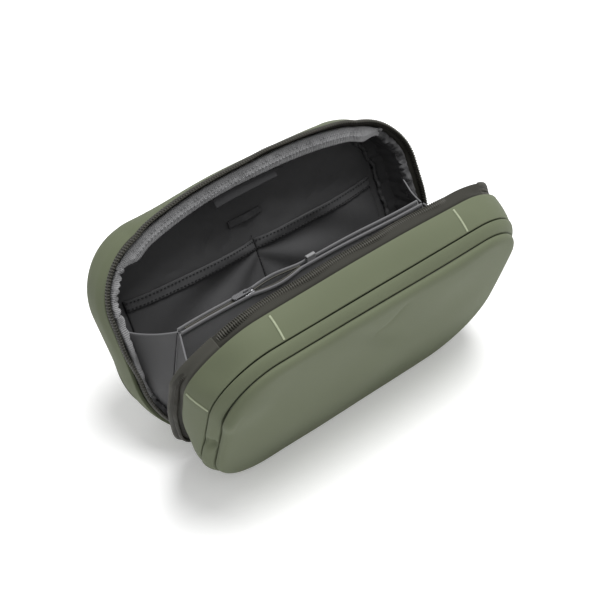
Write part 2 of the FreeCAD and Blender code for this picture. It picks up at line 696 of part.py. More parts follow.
def divider_slider():
    """The divider zip's slider: a plate above the teeth, one between the bound edges, post and bail."""
    x, top = -size("divider_slider_x"), size("divider_top")
    length, plate = size("divider_slider_length"), size("divider_slider_plate")
    teeth = top - size("divider_coil_drop")
    clearance = size("slider_clearance")
    upper = top + clearance
    lower = teeth - size("divider_coil") - clearance - plate
    wire = size("bail_wire")
    body = centred_box(length, size("divider_slider_width"), plate, x, 0, upper)
    body = body.fuse(centred_box(length, size("divider_slider_foot"), plate, x, 0, lower))
    body = body.fuse(centred_box(wire, size("divider_slider_post"), upper - lower, x, 0, lower))
    bail = centred_box(length - wire, wire, divider_bail_height() + wire, x, 0, upper + plate)
    window = centred_box(length - 3 * wire, 2 * wire, divider_bail_height(), x, 0, upper + plate)
    return shape_feature("divider_slider", body.fuse(bail.cut(window)).removeSplitter())


def divider_bail_height():
    return 2 * (size("divider_pull_pin") + size("slider_clearance"))


def divider_pull_axis():
    """X and height of the divider pull's pin."""
    top = size("divider_top") + size("slider_clearance") + size("divider_slider_plate")
    return -size("divider_slider_x"), top + divider_bail_height() / 2


def pull_tab(pin_radius, length, width, thickness, slot):
    """A pull lying along +X from a pin on the Y axis: pin, two arms past the bail, a rounded tab."""
    arm = (width - slot) / 2
    tab = Part.makeBox(length, width, thickness, FreeCAD.Vector(0, -width / 2, -thickness / 2))
    outer = [e for e in tab.Edges if e.BoundBox.XMin > 0]
    upright = [e for e in outer if abs(e.BoundBox.ZLength - thickness) < size("gap")]
    tab = tab.makeFillet(width / 2 - size("gap"), upright)
    window = Part.makeBox(length / 3, width - 2 * arm, 2 * thickness,
                          FreeCAD.Vector(-size("gap"), arm - width / 2, -thickness))
    pin = Part.makeCylinder(pin_radius, width, FreeCAD.Vector(0, -width / 2, 0), FreeCAD.Vector(0, 1, 0))
    return tab.cut(window).fuse(pin).removeSplitter()


def divider_pull():
    """The pull of the divider's zip, lying along the divider's top towards its left end."""
    x, height = divider_pull_axis()
    shape = pull_tab(size("divider_pull_pin"), size("divider_pull_length"), size("divider_pull_width"),
                     size("divider_pull_thickness"), size("bail_wire") + 2 * size("slider_clearance"))
    shape.rotate(FreeCAD.Vector(), FreeCAD.Vector(0, 0, 1), 180)
    shape.translate(FreeCAD.Vector(x, 0, height))
    return shape_feature("divider_pull", shape)


def divider_tab():
    """A folded webbing tab that stands up from the middle of the divider."""
    height = size("binding_height") + size("divider_tab_height")
    foot = size("divider_top") - size("binding_height")
    thickness = 2 * size("lining")
    return shape_feature("divider_tab", centred_box(size("divider_tab_width"), thickness, height,
                                                    size("divider_tab_x"), 0, foot))


# ---------------------------------------------------------------- the main zip's slider


def round_corner(inset_from, inset_to, width, from_angle, to_angle):
    """A block that follows the rim's right bottom corner, between two angles from its lowest point."""
    middle = FreeCAD.Vector(size("pouch_width") / 2 - size("bottom_corner"), 0, size("bottom_corner"))
    outer, inner = size("bottom_corner") - inset_from, size("bottom_corner") - inset_to
    low, high = middle.z - outer, middle.z - inner
    corners = [(-width / 2, low), (width / 2, low), (width / 2, high), (-width / 2, high)]
    points = [FreeCAD.Vector(middle.x, y, z) for y, z in corners]
    face = Part.Face(Part.makePolygon(points + points[:1]))
    # turning about -Y carries the corner's lowest point towards its right side
    face.rotate(middle, FreeCAD.Vector(0, -1, 0), from_angle)
    return face.revolve(middle, FreeCAD.Vector(0, -1, 0), to_angle - from_angle)


def slider_plates():
    """Insets of the outer plate's two faces and of the inner plate's two faces."""
    outer = size("tape_inset") - size("slider_clearance")
    inner = size("coil_inset") + size("coil_radius") + size("slider_clearance")
    plate = size("slider_plate")
    return outer - plate, outer, inner, inner + plate


def main_slider():
    """The slider: a plate outside the tapes, one inside the coils, a post between the coils, and a bail."""
    outside, outer, inner, inside = slider_plates()
    middle, turn = size("slider_angle"), size("slider_turn")
    width, wire = size("slider_width"), size("bail_wire")
    degrees = math.degrees(1 / size("bottom_corner"))
    body = round_corner(outside, outer, width, middle - turn, middle + turn)
    body = body.fuse(round_corner(inner, inside, width, middle - turn, middle + turn))
    post = size("slider_post") * degrees
    body = body.fuse(round_corner(outer, inner, size("slider_post"), middle - post, middle + post))
    reach = turn - 2 * wire * degrees
    bail_top = outside - size("bail_window")
    bail = round_corner(bail_top - wire, outside, size("bail_width"), middle - reach, middle + reach)
    window = round_corner(bail_top, outside, 2 * size("bail_width"), middle - reach + wire * degrees,
                          middle + reach - wire * degrees)
    return shape_feature("main_slider", body.fuse(bail.cut(window)).removeSplitter())


def main_pull_axis():
    """X and height of the main pull's pin, in the back half's closed frame."""
    return rim_point("slider_angle", slider_plates()[0] - size("bail_window") / 2)


def main_pull():
    """The main pull, hanging straight down from the slider's bail."""
    shape = pull_tab(size("pull_pin"), size("pull_length"), size("pull_width"), size("pull_thickness"),
                     size("bail_width") + 2 * size("slider_clearance"))
    shape.rotate(FreeCAD.Vector(), FreeCAD.Vector(0, 1, 0), 90)
    x, height = main_pull_axis()
    shape.translate(FreeCAD.Vector(x, 0, height))
    return shape_feature("main_pull", shape)


# ---------------------------------------------------------------- fabric that joins the halves


def leaned(point, angle):
    """A point of a closed half, leaned about the hinge line. Positive angles lean towards +Y."""
    turned = FreeCAD.Rotation(FreeCAD.Vector(1, 0, 0), -angle)
    return turned.multVec(point)


LEAN = {FRONT: -size("front_lean"), BACK: size("back_lean")}
DIVIDER_LEAN = (LEAN[FRONT] + LEAN[BACK]) / 2


def thin_sheet(name, inner_top, inner_low, outer_top, outer_low):
    """A sheet of gusset fabric between two edges."""
    normal = (inner_low - inner_top).cross(outer_top - inner_top).normalize() * (size("wing") / 2)
    ends = []
    for top, low in ((inner_top, inner_low), (outer_top, outer_low)):
        corners = [top - normal, top + normal, low + normal, low - normal]
        ends.append(Part.makePolygon(corners + corners[:1]))
    return shape_feature(name, Part.makeLoft(ends, True, True))


def gusset_wing(half, side):
    """A wing from the divider's side to a half's side wall, which holds the pouch open at this angle."""
    mirror = -1 if side == "left" else 1
    stand_off = size("wing_divider_gap")
    slant = ((size("divider_side_half") - size("divider_top_half"))
             / (size("divider_top") - size("divider_side_level")))
    inner = []
    for name in ("wing_divider_top", "wing_divider_low"):
        x = size("divider_top_half") + slant * (size("divider_top") - size(name)) + stand_off
        inner.append(leaned(at(mirror * x, stand_off, size(name), half), DIVIDER_LEAN))
    outer = []
    for name in ("wing_top", "wing_low"):
        x = size("pouch_width") / 2 - size("wing_inset")
        below = size("bottom_corner") - size(name)
        if below > 0:
            radius = size("bottom_corner") - size("wing_inset")
            x += math.sqrt(radius ** 2 - below ** 2) - radius
        outer.append(leaned(at(mirror * x, size("wing_depth"), size(name), half), LEAN[half]))
    return thin_sheet("wing_%s_%s" % (half, side), *inner, *outer)


def hinge_strip():
    """The fabric hinge: a flap to each wall, meeting over the hinge line."""
    reach, thickness = size("wall_start") - size("gap"), size("strip")
    half_angle = math.radians((LEAN[BACK] - LEAN[FRONT]) / 2)
    fold = leaned(FreeCAD.Vector(0, 0, thickness / math.cos(half_angle)), DIVIDER_LEAN)
    section = [
        FreeCAD.Vector(),
        leaned(at(0, reach, 0, BACK), LEAN[BACK]),
        leaned(at(0, reach, thickness, BACK), LEAN[BACK]),
        fold,
        leaned(at(0, reach, thickness, FRONT), LEAN[FRONT]),
        leaned(at(0, reach, 0, FRONT), LEAN[FRONT]),
    ]
    face = Part.Face(Part.makePolygon(section + section[:1]))
    face.translate(FreeCAD.Vector(-size("strip_half"), 0, 0))
    return shape_feature("hinge_strip", face.extrude(FreeCAD.Vector(2 * size("strip_half"), 0, 0)))


def zip_end_tab(side):
    """A fabric tab round a bottom corner, from the hinge to the end of the zip, bridging the two walls."""
    mirror = -1 if side == "left" else 1
    first, last = size("end_tab_from"), size("end_tab_to")
    middle = size("pouch_width") / 2 - size("bottom_corner")
    edge = size("wall_start") - size("gap")
    sections = []
    for angle in (first, (first + last) / 2, last):
        x = middle + size("bottom_corner") * math.sin(math.radians(angle))
        height = size("bottom_corner") * (1 - math.cos(math.radians(angle)))
        corners = []
        for half, rise in ((FRONT, 0), (BACK, 0), (BACK, size("strip")), (FRONT, size("strip"))):
            corners.append(leaned(at(mirror * x, edge, height + rise, half), LEAN[half]))
        sections.append(Part.makePolygon(corners + corners[:1]))
    return shape_feature("zip_end_tab_" + side, Part.makeLoft(sections, True, True))


# ---------------------------------------------------------------- the assembly


def build_half(half):
    shell = [wall(half), edge_band(half), panel(half), foam(half), lining(half)]
    zip_pieces = [zip_tape(half), zip_coil(half), zip_stops(half)]
    return shell + zip_pieces + inner_hems(half)


def build_divider():
    front = "Sizes.divider_half - Sizes.divider_sheet"
    back = "-Sizes.divider_half"
    inside = "Sizes.divider_half - Sizes.divider_sheet - 2 * Sizes.gap - Sizes.divider_board"
    board = ("divider_board", "divider_board_margin", "divider_board_drop")
    return [
        divider_plate("divider_front_panel", front, "divider_sheet", None, "divider_sheet_drop"),
        divider_plate("divider_board", inside, *board),
        divider_plate("divider_back_panel", back, "divider_sheet", None, "divider_sheet_drop"),
        divider_binding("divider_front_binding", -1),
        divider_binding("divider_back_binding", 1),
        divider_zip_coil(),
        divider_slider(),
        divider_pull(),
        divider_tab(),
    ]


def build_back_fittings():
    pieces = [key_loop(), label_tab(), main_slider(), main_pull()]
    for side in ("left", "right"):
        pieces += [pocket(side), pocket_hem(side)]
    return pieces


def build_joining_fabric():
    pieces = [hinge_strip(), zip_end_tab("left"), zip_end_tab("right")]
    for half in (BACK, FRONT):
        pieces += [gusset_wing(half, "left"), gusset_wing(half, "right")]
    return pieces


def stand_on_table(leaning):
    """Leans each group about the hinge line, then moves all of it so that it stands on the table.

    leaning is a list of groups, each a lean in degrees and its pieces. The origin ends up on the table,
    under the middle of the whole pouch.
    """
    box = FreeCAD.BoundBox()
    for lean, pieces in leaning:
        for piece in pieces:
            turned = FreeCAD.Rotation(FreeCAD.Vector(1, 0, 0), -lean)
            shape = piece.Shape.copy()
            shape.Placement = FreeCAD.Placement(FreeCAD.Vector(), turned) * shape.Placement
            box.add(shape.optimalBoundingBox(False, False))
    shift = FreeCAD.Vector(0, -(box.YMin + box.YMax) / 2, -box.ZMin)
    for lean, pieces in leaning:
        for piece in pieces:
            turned = FreeCAD.Rotation(FreeCAD.Vector(1, 0, 0), -lean)
            piece.Placement = FreeCAD.Placement(shift, turned) * piece.Placement
    print("hinge line at Y %.3f, Z %.3f" % (shift.y, shift.z))


def write_parts(pieces):
    """Checks every object and writes each sub-part as a STEP file named after it."""
    failed = [o.Name for o in doc.Objects if "Invalid" in o.State or "Error" in o.State]
    if failed:
        raise RuntimeError("failed objects: %s" % failed)
    os.makedirs("parts", exist_ok=True)
    for piece in pieces:
        if piece.Shape.isNull() or not piece.Shape.isValid():
            raise RuntimeError("bad shape: " + piece.Label)
        piece.Shape.exportStep(os.path.join("parts", piece.Label + ".step"))
    print("%d sub-parts written" % len(pieces))


def main():
    back = build_half(BACK) + build_back_fittings()
    front = build_half(FRONT) + [wall_bartacks()]
    divider = build_divider()
    joining = build_joining_fabric()
    doc.recompute()
    stand_on_table([(LEAN[BACK], back), (LEAN[FRONT], front), (DIVIDER_LEAN, divider), (0, joining)])
    write_parts(back + front + divider + joining)


main()
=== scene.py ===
"""Looks of the cable organiser pouch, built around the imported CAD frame.

Lengths are in millimetres and are turned into metres when a mesh is made. Every piece of a half is laid
out as if the pouch were closed: X along the hinge, height above the hinge line, and depth outwards from the
closing plane. A lean about the hinge line then stands it open. An inset is the distance inside the rim's
outline, and a low is the same distance at the bottom, where it can differ.
"""

import json
import math
from types import SimpleNamespace

import bpy
import numpy as np
from mathutils import Matrix, Vector


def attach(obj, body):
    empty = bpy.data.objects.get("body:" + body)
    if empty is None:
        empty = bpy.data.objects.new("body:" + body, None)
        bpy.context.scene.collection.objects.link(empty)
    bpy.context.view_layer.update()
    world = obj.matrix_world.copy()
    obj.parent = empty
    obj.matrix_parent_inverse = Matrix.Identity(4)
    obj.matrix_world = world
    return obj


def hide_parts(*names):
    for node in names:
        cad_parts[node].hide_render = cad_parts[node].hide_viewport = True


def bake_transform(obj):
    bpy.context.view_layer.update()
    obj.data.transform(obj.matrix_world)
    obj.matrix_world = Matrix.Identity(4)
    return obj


MM = 0.001
WIDTH = 235.0
HEIGHT = 139.5
TOP_CORNER = 43.0
BOTTOM_CORNER = 54.0
# degrees from upright
LEAN = {"front": -20.8, "back": 23.0, "divider": 1.1}
# the way along Y that depth runs
OUTWARD = {"front": -1.0, "back": 1.0, "divider": 1.0}
# depth, inset and low of the seam round the wall, and of the edge of the outer face
SEAM = {"front": (22.5, 4.5, 1.5), "back": (30.0, 1.5, 5.0)}
EDGE = {"front": (29.6, 9.0, 3.5), "back": (37.0, 8.0, 12.0)}
# how far the middle of each rim arches above the CAD's level one
ARCH = {"front": 3.2, "back": 8.5}
# degrees round the bottom corners where the zip ends
ZIP_END = 30.0

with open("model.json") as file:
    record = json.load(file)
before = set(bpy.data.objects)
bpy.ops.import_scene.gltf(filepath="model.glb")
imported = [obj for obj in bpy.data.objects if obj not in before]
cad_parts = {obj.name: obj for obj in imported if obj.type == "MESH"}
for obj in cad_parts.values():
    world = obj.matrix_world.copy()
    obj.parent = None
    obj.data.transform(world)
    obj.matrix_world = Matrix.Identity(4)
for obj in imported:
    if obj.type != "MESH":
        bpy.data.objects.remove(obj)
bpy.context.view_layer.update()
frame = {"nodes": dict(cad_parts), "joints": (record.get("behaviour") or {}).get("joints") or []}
HINGE = np.array([j for j in frame["joints"] if j["name"] == "divider_hinge"][0]["pos_m"]) / MM


# ---- shapes


def smooth(value, low, high):
    """0 below low, 1 above high, and an even rise between. low may be the larger."""
    t = np.clip((value - low) / (high - low), 0.0, 1.0)
    return t * t * (3.0 - 2.0 * t)


def bump(value, middle, reach):
    return np.exp(-(((value - middle) / reach) ** 2))


def ripple(a, b, seed, size, count=7):
    """Smooth wandering values between about -1 and 1 over two coordinates, size from crest to crest."""
    random = np.random.default_rng(seed)
    total = 0.0
    for _ in range(count):
        angle, phase = random.uniform(0, math.pi), random.uniform(0, 2 * math.pi)
        pitch = size * random.uniform(0.7, 1.6)
        total = total + np.sin(2 * math.pi * (a * math.cos(angle) + b * math.sin(angle)) / pitch + phase)
    return total / count * 1.6


# the lengths of half the outline, from the bottom's middle to the top's middle
HALF_PARTS = (
    WIDTH / 2 - BOTTOM_CORNER,
    math.pi / 2 * BOTTOM_CORNER,
    HEIGHT - TOP_CORNER - BOTTOM_CORNER,
    math.pi / 2 * TOP_CORNER,
    WIDTH / 2 - TOP_CORNER,
)
ROUND = 2 * sum(HALF_PARTS)


def rim(u, inset=0.0, low=0.0):
    """The outline at a share u of the way round, from the bottom's middle towards +X.

    Gives x, height, and the outward normal's parts along x and height.
    """
    along = np.mod(u, 1.0) * ROUND
    mirror = np.where(along > ROUND / 2, -1.0, 1.0)
    along = np.minimum(along, ROUND - along)
    side, top = WIDTH / 2 - inset, HEIGHT - inset
    lower, upper = BOTTOM_CORNER - inset, TOP_CORNER - inset
    starts = np.cumsum((0.0,) + HALF_PARTS)
    t = [np.clip((along - start) / length, 0, 1) for start, length in zip(starts, HALF_PARTS)]
    a, b = (t[1] - 1) * math.pi / 2, t[3] * math.pi / 2
    part = [along <= end for end in starts[1:-1]]
    zero, one = np.zeros_like(along), np.ones_like(along)
    x = np.select(
        part,
        [t[0] * (side - lower), side - lower + lower * np.cos(a), side + zero,
         side - upper + upper * np.cos(b)],
        (1 - t[4]) * (side - upper),
    )
    straight = low + lower + t[2] * (top - upper - low - lower)
    h = np.select(
        part,
        [low + zero, low + lower + lower * np.sin(a), straight, top - upper + upper * np.sin(b)],
        top,
    )
    across = np.select(part, [zero, np.cos(a), one, np.cos(b)], 0.0)
    up = np.select(part, [-one, np.sin(a), zero, np.sin(b)], 1.0)
    return x * mirror, h, across * mirror, up


def share_at_angle(angle):
    """The share of the way round at an angle round the right bottom corner, from its lowest point."""
    return (HALF_PARTS[0] + math.radians(angle) * BOTTOM_CORNER) / ROUND


def settle(half, x, depth, height):
    """How the soft half lies: its rim arches or sags, and its corners pull in. Every layer moves so."""
    near_top = smooth(height, 62, 132)
    if half == "back":
        near_rim = smooth(depth, 38, 8)
        arch = ARCH["back"] * np.clip(1 - np.abs(x / 80) ** 2.6, -0.12, 1)
        lean_right = 2.6 * smooth(height, 15, 70)
        return x + lean_right, depth, height + arch * near_top * near_rim
    near_rim = smooth(depth, 26, 4)
    arch = ARCH["front"] * np.cos(np.clip(x / 78, -1.25, 1.25) * math.pi / 2)
    pull = 6.5 * bump(height, 40, 24) * smooth(x, -80, -112) * smooth(depth, 24, 2)
    corner = 1.6 * bump(height, 112, 16) * smooth(x, -90, -116) * near_rim
    sag = 1.6 * bump(x, 45, 42) * near_top * smooth(depth, 20, 30)
    return x + pull - corner, depth, height + arch * near_top * near_rim - sag


def place(half, x, depth, height):
    """Points of a closed half, in millimetres, stood open in the row's frame."""
    lean = math.radians(LEAN[half])
    out = OUTWARD[half] * depth
    y = out * math.cos(lean) + height * math.sin(lean)
    z = height * math.cos(lean) - out * math.sin(lean)
    return np.stack(np.broadcast_arrays(x + HINGE[0], y + HINGE[1], z + HINGE[2]), axis=-1)


def lay(half, x, depth, height):
    """Points of a soft half as its cloth lies, stood open in the row's frame."""
    return place(half, *settle(half, x, depth, height))


def turned(half, x, depth, height):
    """A direction of a closed half, as it points when the half stands open."""
    return place(half, x, depth, height) - place(half, 0.0, 0.0, 0.0)


def fill_in(stations, step):
    """Stations of (depth, inset, low) filled in to about a step apart, and how far along each one lies."""
    stations = np.array(stations, float)
    lengths = np.hypot(np.diff(stations[:, 0]), np.diff(stations[:, 1]))
    marks = np.concatenate([[0], np.cumsum(lengths)])
    along = [0.0]
    for start, length in zip(marks, lengths):
        count = max(2, math.ceil(length / step))
        along.extend(start + length * (np.arange(count) + 1) / count)
    return np.stack([np.interp(along, marks, column) for column in stations.T], axis=1), np.array(along)


# ---- meshes


def finish_mesh(name, vertices, faces, uvs=None):
    mesh = bpy.data.meshes.new(name)
    mesh.from_pydata([tuple(v) for v in vertices * MM], [], [tuple(f) for f in faces])
    if uvs is not None:
        layer = mesh.uv_layers.new(name="UVMap")
        index = np.zeros(len(mesh.loops), int)
        mesh.loops.foreach_get("vertex_index", index)
        layer.data.foreach_set("uv", (uvs[index] * MM).astype(np.float32).ravel())
    mesh.validate()
    mesh.update()
    mesh.polygons.foreach_set("use_smooth", [True] * len(mesh.polygons))
    piece = bpy.data.objects.new(name, mesh)
    bpy.context.scene.collection.objects.link(piece)
    return piece


def grid_faces(rows, columns, closed):
    i = np.arange(rows if closed else rows - 1)
    j = np.arange(columns - 1)
    i, j = (a.ravel() for a in np.meshgrid(i, j, indexing="ij"))
    k = (i + 1) % rows
    return np.stack([i * columns + j, k * columns + j, k * columns + j + 1, i * columns + j + 1], axis=1)


def grid_normals(points, closed):
    if closed:
        along = np.roll(points, -1, axis=0) - np.roll(points, 1, axis=0)
    else:
        along = np.gradient(points, axis=0)
    normal = np.cross(along, np.gradient(points, axis=1))
    return normal / np.maximum(np.linalg.norm(normal, axis=-1, keepdims=True), 1e-9)


def cloth(name, points, uv, thickness, closed=False, flip=False):
    """A sheet over a grid of points, thickened to one side, with its edges closed."""
    rows, columns = points.shape[:2]
    normal = grid_normals(points, closed) * (-1 if flip else 1)
    back = points - normal * thickness
    count = rows * columns
    front_faces = grid_faces(rows, columns, closed)
    faces = [front_faces, front_faces[:, ::-1] + count]
    if closed:
        ring = np.arange(rows) * columns
        loops = [np.append(ring, ring[0]), np.append(ring, ring[0])[::-1] + columns - 1]
    else:
        bottom = np.arange(rows) * columns
        right = (rows - 1) * columns + np.arange(columns)
        top, left = (bottom + columns - 1)[::-1], np.arange(columns)[::-1]
        loops = [np.concatenate([bottom, right[1:], top[1:], left[1:]])]
    for loop in loops:
        a, b = loop[:-1], loop[1:]
        faces.append(np.stack([b, a, a + count, b + count], axis=1))
    faces = np.concatenate(faces)
    if flip:
        faces = faces[:, ::-1]
    flat = uv.reshape(-1, 2)
    vertices = np.concatenate([points.reshape(-1, 3), back.reshape(-1, 3)])
    return finish_mesh(name, vertices, faces, np.concatenate([flat, flat]))


def band(name, half, stations, thickness, rows=480, step=1.0, share=None, relief=None, outer=False):
    """A strip round the rim over stations of (depth, inset, low).

    share is the part of the way round that it covers, or None for all of it. relief takes a spot on the
    strip and gives how far it is pushed out from the rim, and how much deeper into the half. outer says
    that the stations are the outside of the cloth, not its inside.
    """
    closed = share is None
    u = np.arange(rows) / rows if closed else np.linspace(share[0], share[1], rows)
    levels, across = fill_in(stations, step)
    grid_u, grid_v = np.meshgrid(u, across, indexing="ij")
    depth, inset, low = (np.broadcast_to(level, grid_u.shape) for level in levels.T)
    x, h, nx, nh = rim(grid_u, inset, low)
    if relief is not None:
        spot = SimpleNamespace(along=grid_u * ROUND, across=grid_v, depth=depth, x=x, height=h)
        out, deeper = relief(spot)
        x, h, depth = x + nx * out, h + nh * out, depth + deeper
    points = lay(half, x, depth, h)
    uv = np.stack([grid_u * ROUND, grid_v], axis=-1)
    return cloth(name, points, uv, thickness, closed, flip=(half == "front") != outer)


def rod(name, path, radius, sides=8, squash=(1.0, 1.0), up=None, closed=False, ridges=None):
    """A tube along a path of points. ridges is (pitch, share of the radius) for a wound or ribbed rod."""
    path = np.asarray(path, float)
    if closed:
        tangent = np.roll(path, -1, axis=0) - np.roll(path, 1, axis=0)
    else:
        tangent = np.gradient(path, axis=0)
    tangent /= np.linalg.norm(tangent, axis=1, keepdims=True)
    up = np.array([0.0, 0.0, 1.0]) if up is None else up
    side = np.cross(tangent, up)
    side /= np.linalg.norm(side, axis=1, keepdims=True)
    over = np.cross(side, tangent)
    steps = np.linalg.norm(np.diff(path, axis=0), axis=1)
    along = np.concatenate([[0], np.cumsum(steps)])
    size = np.full(len(path), radius)
    if ridges:
        size = radius * (1 - ridges[1] * (0.5 + 0.5 * np.cos(2 * math.pi * along / ridges[0])))
    angle = np.arange(sides) / sides * 2 * math.pi
    ring = (side[:, None] * np.cos(angle)[None, :, None] * squash[0]
            + over[:, None] * np.sin(angle)[None, :, None] * squash[1])
    points = path[:, None] + ring * size[:, None, None]
    count = len(path)
    faces = []
    for i in range(count if closed else count - 1):
        k = (i + 1) % count
        for j in range(sides):
            m = (j + 1) % sides
            faces.append((i * sides + j, i * sides + m, k * sides + m, k * sides + j))
    if not closed:
        faces.append(tuple(range(sides))[::-1])
        faces.append(tuple((count - 1) * sides + j for j in range(sides)))
    uv = np.stack(np.broadcast_arrays(along[:, None], angle[None] * radius), axis=-1).reshape(-1, 2)
    return finish_mesh(name, points.reshape(-1, 3), faces, uv)


def stitches(name, path, pitch, length, radius, lift):
    """A row of separate stitches along a path, each a short rounded thread. lift points off the fabric."""
    path = np.asarray(path, float)
    steps = np.linalg.norm(np.diff(path, axis=0), axis=1)
    along = np.concatenate([[0], np.cumsum(steps)])
    vertices, faces = [], []
    # share of the length, share of the radius, and radii off the fabric
    shape = ((0.0, 0.3, -0.6), (0.2, 1.0, 0.6), (0.8, 1.0, 0.6), (1.0, 0.3, -0.6))
    sides = 6

    def at(distance):
        return np.array([np.interp(distance, along, column) for column in path.T])

    for start in np.arange(pitch / 2, along[-1] - length, pitch):
        direction = at(start + length) - at(start)
        direction /= np.linalg.norm(direction)
        side = np.cross(direction, lift)
        side /= np.linalg.norm(side)
        over = np.cross(side, direction)
        first = len(vertices)
        for share, size, rise in shape:
            middle = at(start + share * length) + over * radius * rise
            for turn in range(sides):
                a = turn / sides * 2 * math.pi
                vertices.append(middle + (side * math.cos(a) + over * math.sin(a)) * radius * size)
        for ring in range(len(shape) - 1):
            for turn in range(sides):
                a, b = first + ring * sides + turn, first + ring * sides + (turn + 1) % sides
                faces.append((a, b, b + sides, a + sides))
        faces.append(tuple(first + turn for turn in range(sides))[::-1])
        faces.append(tuple(first + (len(shape) - 1) * sides + turn for turn in range(sides)))
    vertices = np.array(vertices)
    return finish_mesh(name, vertices, faces, vertices[:, :2])


def softened(name, source, width=0.25):
    """A copy of a hard CAD node with its edges rounded, which stands for it."""
    piece = bpy.data.objects.new(name, frame["nodes"][source].data.copy())
    bpy.context.scene.collection.objects.link(piece)
    weld = piece.modifiers.new("weld", "WELD")
    weld.merge_threshold = 1e-6
    rounding = piece.modifiers.new("rounding", "BEVEL")
    rounding.width, rounding.segments, rounding.limit_method = width * MM, 2, "ANGLE"
    rounding.angle_limit = math.radians(40)
    graph = bpy.context.evaluated_depsgraph_get()
    mesh = bpy.data.meshes.new_from_object(piece.evaluated_get(graph))
    piece.modifiers.clear()
    piece.data = mesh
    return piece


# ---- materials


def shader(name, base, roughness):
    """A new material with its node tree and its Principled node."""
    material = bpy.data.materials.new(name)
    material.use_nodes = True
    tree = material.node_tree
    principled = tree.nodes["Principled BSDF"]
    principled.inputs["Base Color"].default_value = (*base, 1)
    principled.inputs["Roughness"].default_value = roughness
    return material, tree, principled


def node(tree, kind, inputs=(), **settings):
    """A new shader node. An input is a value, or another node's output to link."""
    made = tree.nodes.new(kind)
    for key, value in settings.items():
        setattr(made, key, value)
    for key, value in dict(inputs).items():
        if isinstance(value, bpy.types.NodeSocket):
            tree.links.new(value, made.inputs[key])
        else:
            made.inputs[key].default_value = value
    return made


def threads(tree, axis, pitch, distortion=0.0):
    """Bands one pitch (in millimetres) apart across a UV axis."""
    coordinates = node(tree, "ShaderNodeTexCoord").outputs["UV"]
    scale = 2 * math.pi / 20 / (pitch * MM)
    wave = node(tree, "ShaderNodeTexWave",
                {"Vector": coordinates, "Scale": scale, "Distortion": distortion, "Detail": 1.0},
                bands_direction=axis)
    return wave.outputs["Fac"]


def blotches(tree, size, detail=3.0):
    """Noise whose blotches are about size millimetres across."""
    coordinates = node(tree, "ShaderNodeTexCoord").outputs["Object"]
    return node(tree, "ShaderNodeTexNoise",
                {"Vector": coordinates, "Scale": 1 / (size * MM), "Detail": detail}).outputs["Fac"]


def math_node(tree, operation, a, b):
    return node(tree, "ShaderNodeMath", {0: a, 1: b}, operation=operation).outputs[0]


def fabric(name, base, roughness, weave=0.5, weave_depth=0.05, ribs=None, tone_and_painted_shade=0.12, sheen=0.03):
    """Woven or coated cloth: threads both ways, or ribs one way, fine grain, slow changes of tone, and
    painted shade that darkens the hollows between threads and ribs.
    """
    grain = 0.35
    material, tree, principled = shader(name, base, roughness)
    if ribs:
        relief = threads(tree, "X", ribs, 1.5)
    else:
        relief = math_node(tree, "MULTIPLY", threads(tree, "X", weave, 0.6), threads(tree, "Y", weave, 0.6))
    fine = blotches(tree, grain, 2.0)
    height = math_node(tree, "ADD", relief, fine)
    bump_inputs = {"Height": height, "Distance": weave_depth * MM, "Strength": 0.8}
    bump_node = node(tree, "ShaderNodeBump", bump_inputs)
    slow = blotches(tree, 38.0)
    slow_part = math_node(tree, "MULTIPLY", slow, 0.7)
    # the colour follows slow random tone and also the threads' relief, so the hollows between threads and
    # ribs get painted shade
    share = math_node(tree, "ADD", slow_part, math_node(tree, "MULTIPLY", relief, 0.3))
    dark = tuple(c * (1 - tone_and_painted_shade) for c in base)
    light = tuple(min(1.0, c * (1 + tone_and_painted_shade)) for c in base)
    mixed = node(tree, "ShaderNodeMix", {"Factor": share}, data_type="RGBA")
    # a Mix node's colour sockets carry the same names as its float ones, so they are reached by number
    mixed.inputs[6].default_value = (*dark, 1)
    mixed.inputs[7].default_value = (*light, 1)
    tree.links.new(mixed.outputs[2], principled.inputs["Base Color"])
    tree.links.new(bump_node.outputs["Normal"], principled.inputs["Normal"])
    principled.inputs["Sheen Weight"].default_value = sheen
    principled.inputs["Sheen Roughness"].default_value = 0.5
    principled.inputs["Specular IOR Level"].default_value = 0.2
    return material


def hard(name, base, roughness, metallic=0.0, wear=0.08):
    """Paint, metal or moulded plastic with fine unevenness."""
    material, tree, principled = shader(name, base, roughness)
    principled.inputs["Metallic"].default_value = metallic
    fine = blotches(tree, 0.8)
    limits = {"Value": fine, "To Min": roughness - wear, "To Max": roughness + wear}
    rough = node(tree, "ShaderNodeMapRange", limits)
    tree.links.new(rough.outputs["Result"], principled.inputs["Roughness"])
    relief = node(tree, "ShaderNodeBump", {"Height": fine, "Distance": 0.02 * MM, "Strength": 0.4})
    tree.links.new(relief.outputs["Normal"], principled.inputs["Normal"])
    return material


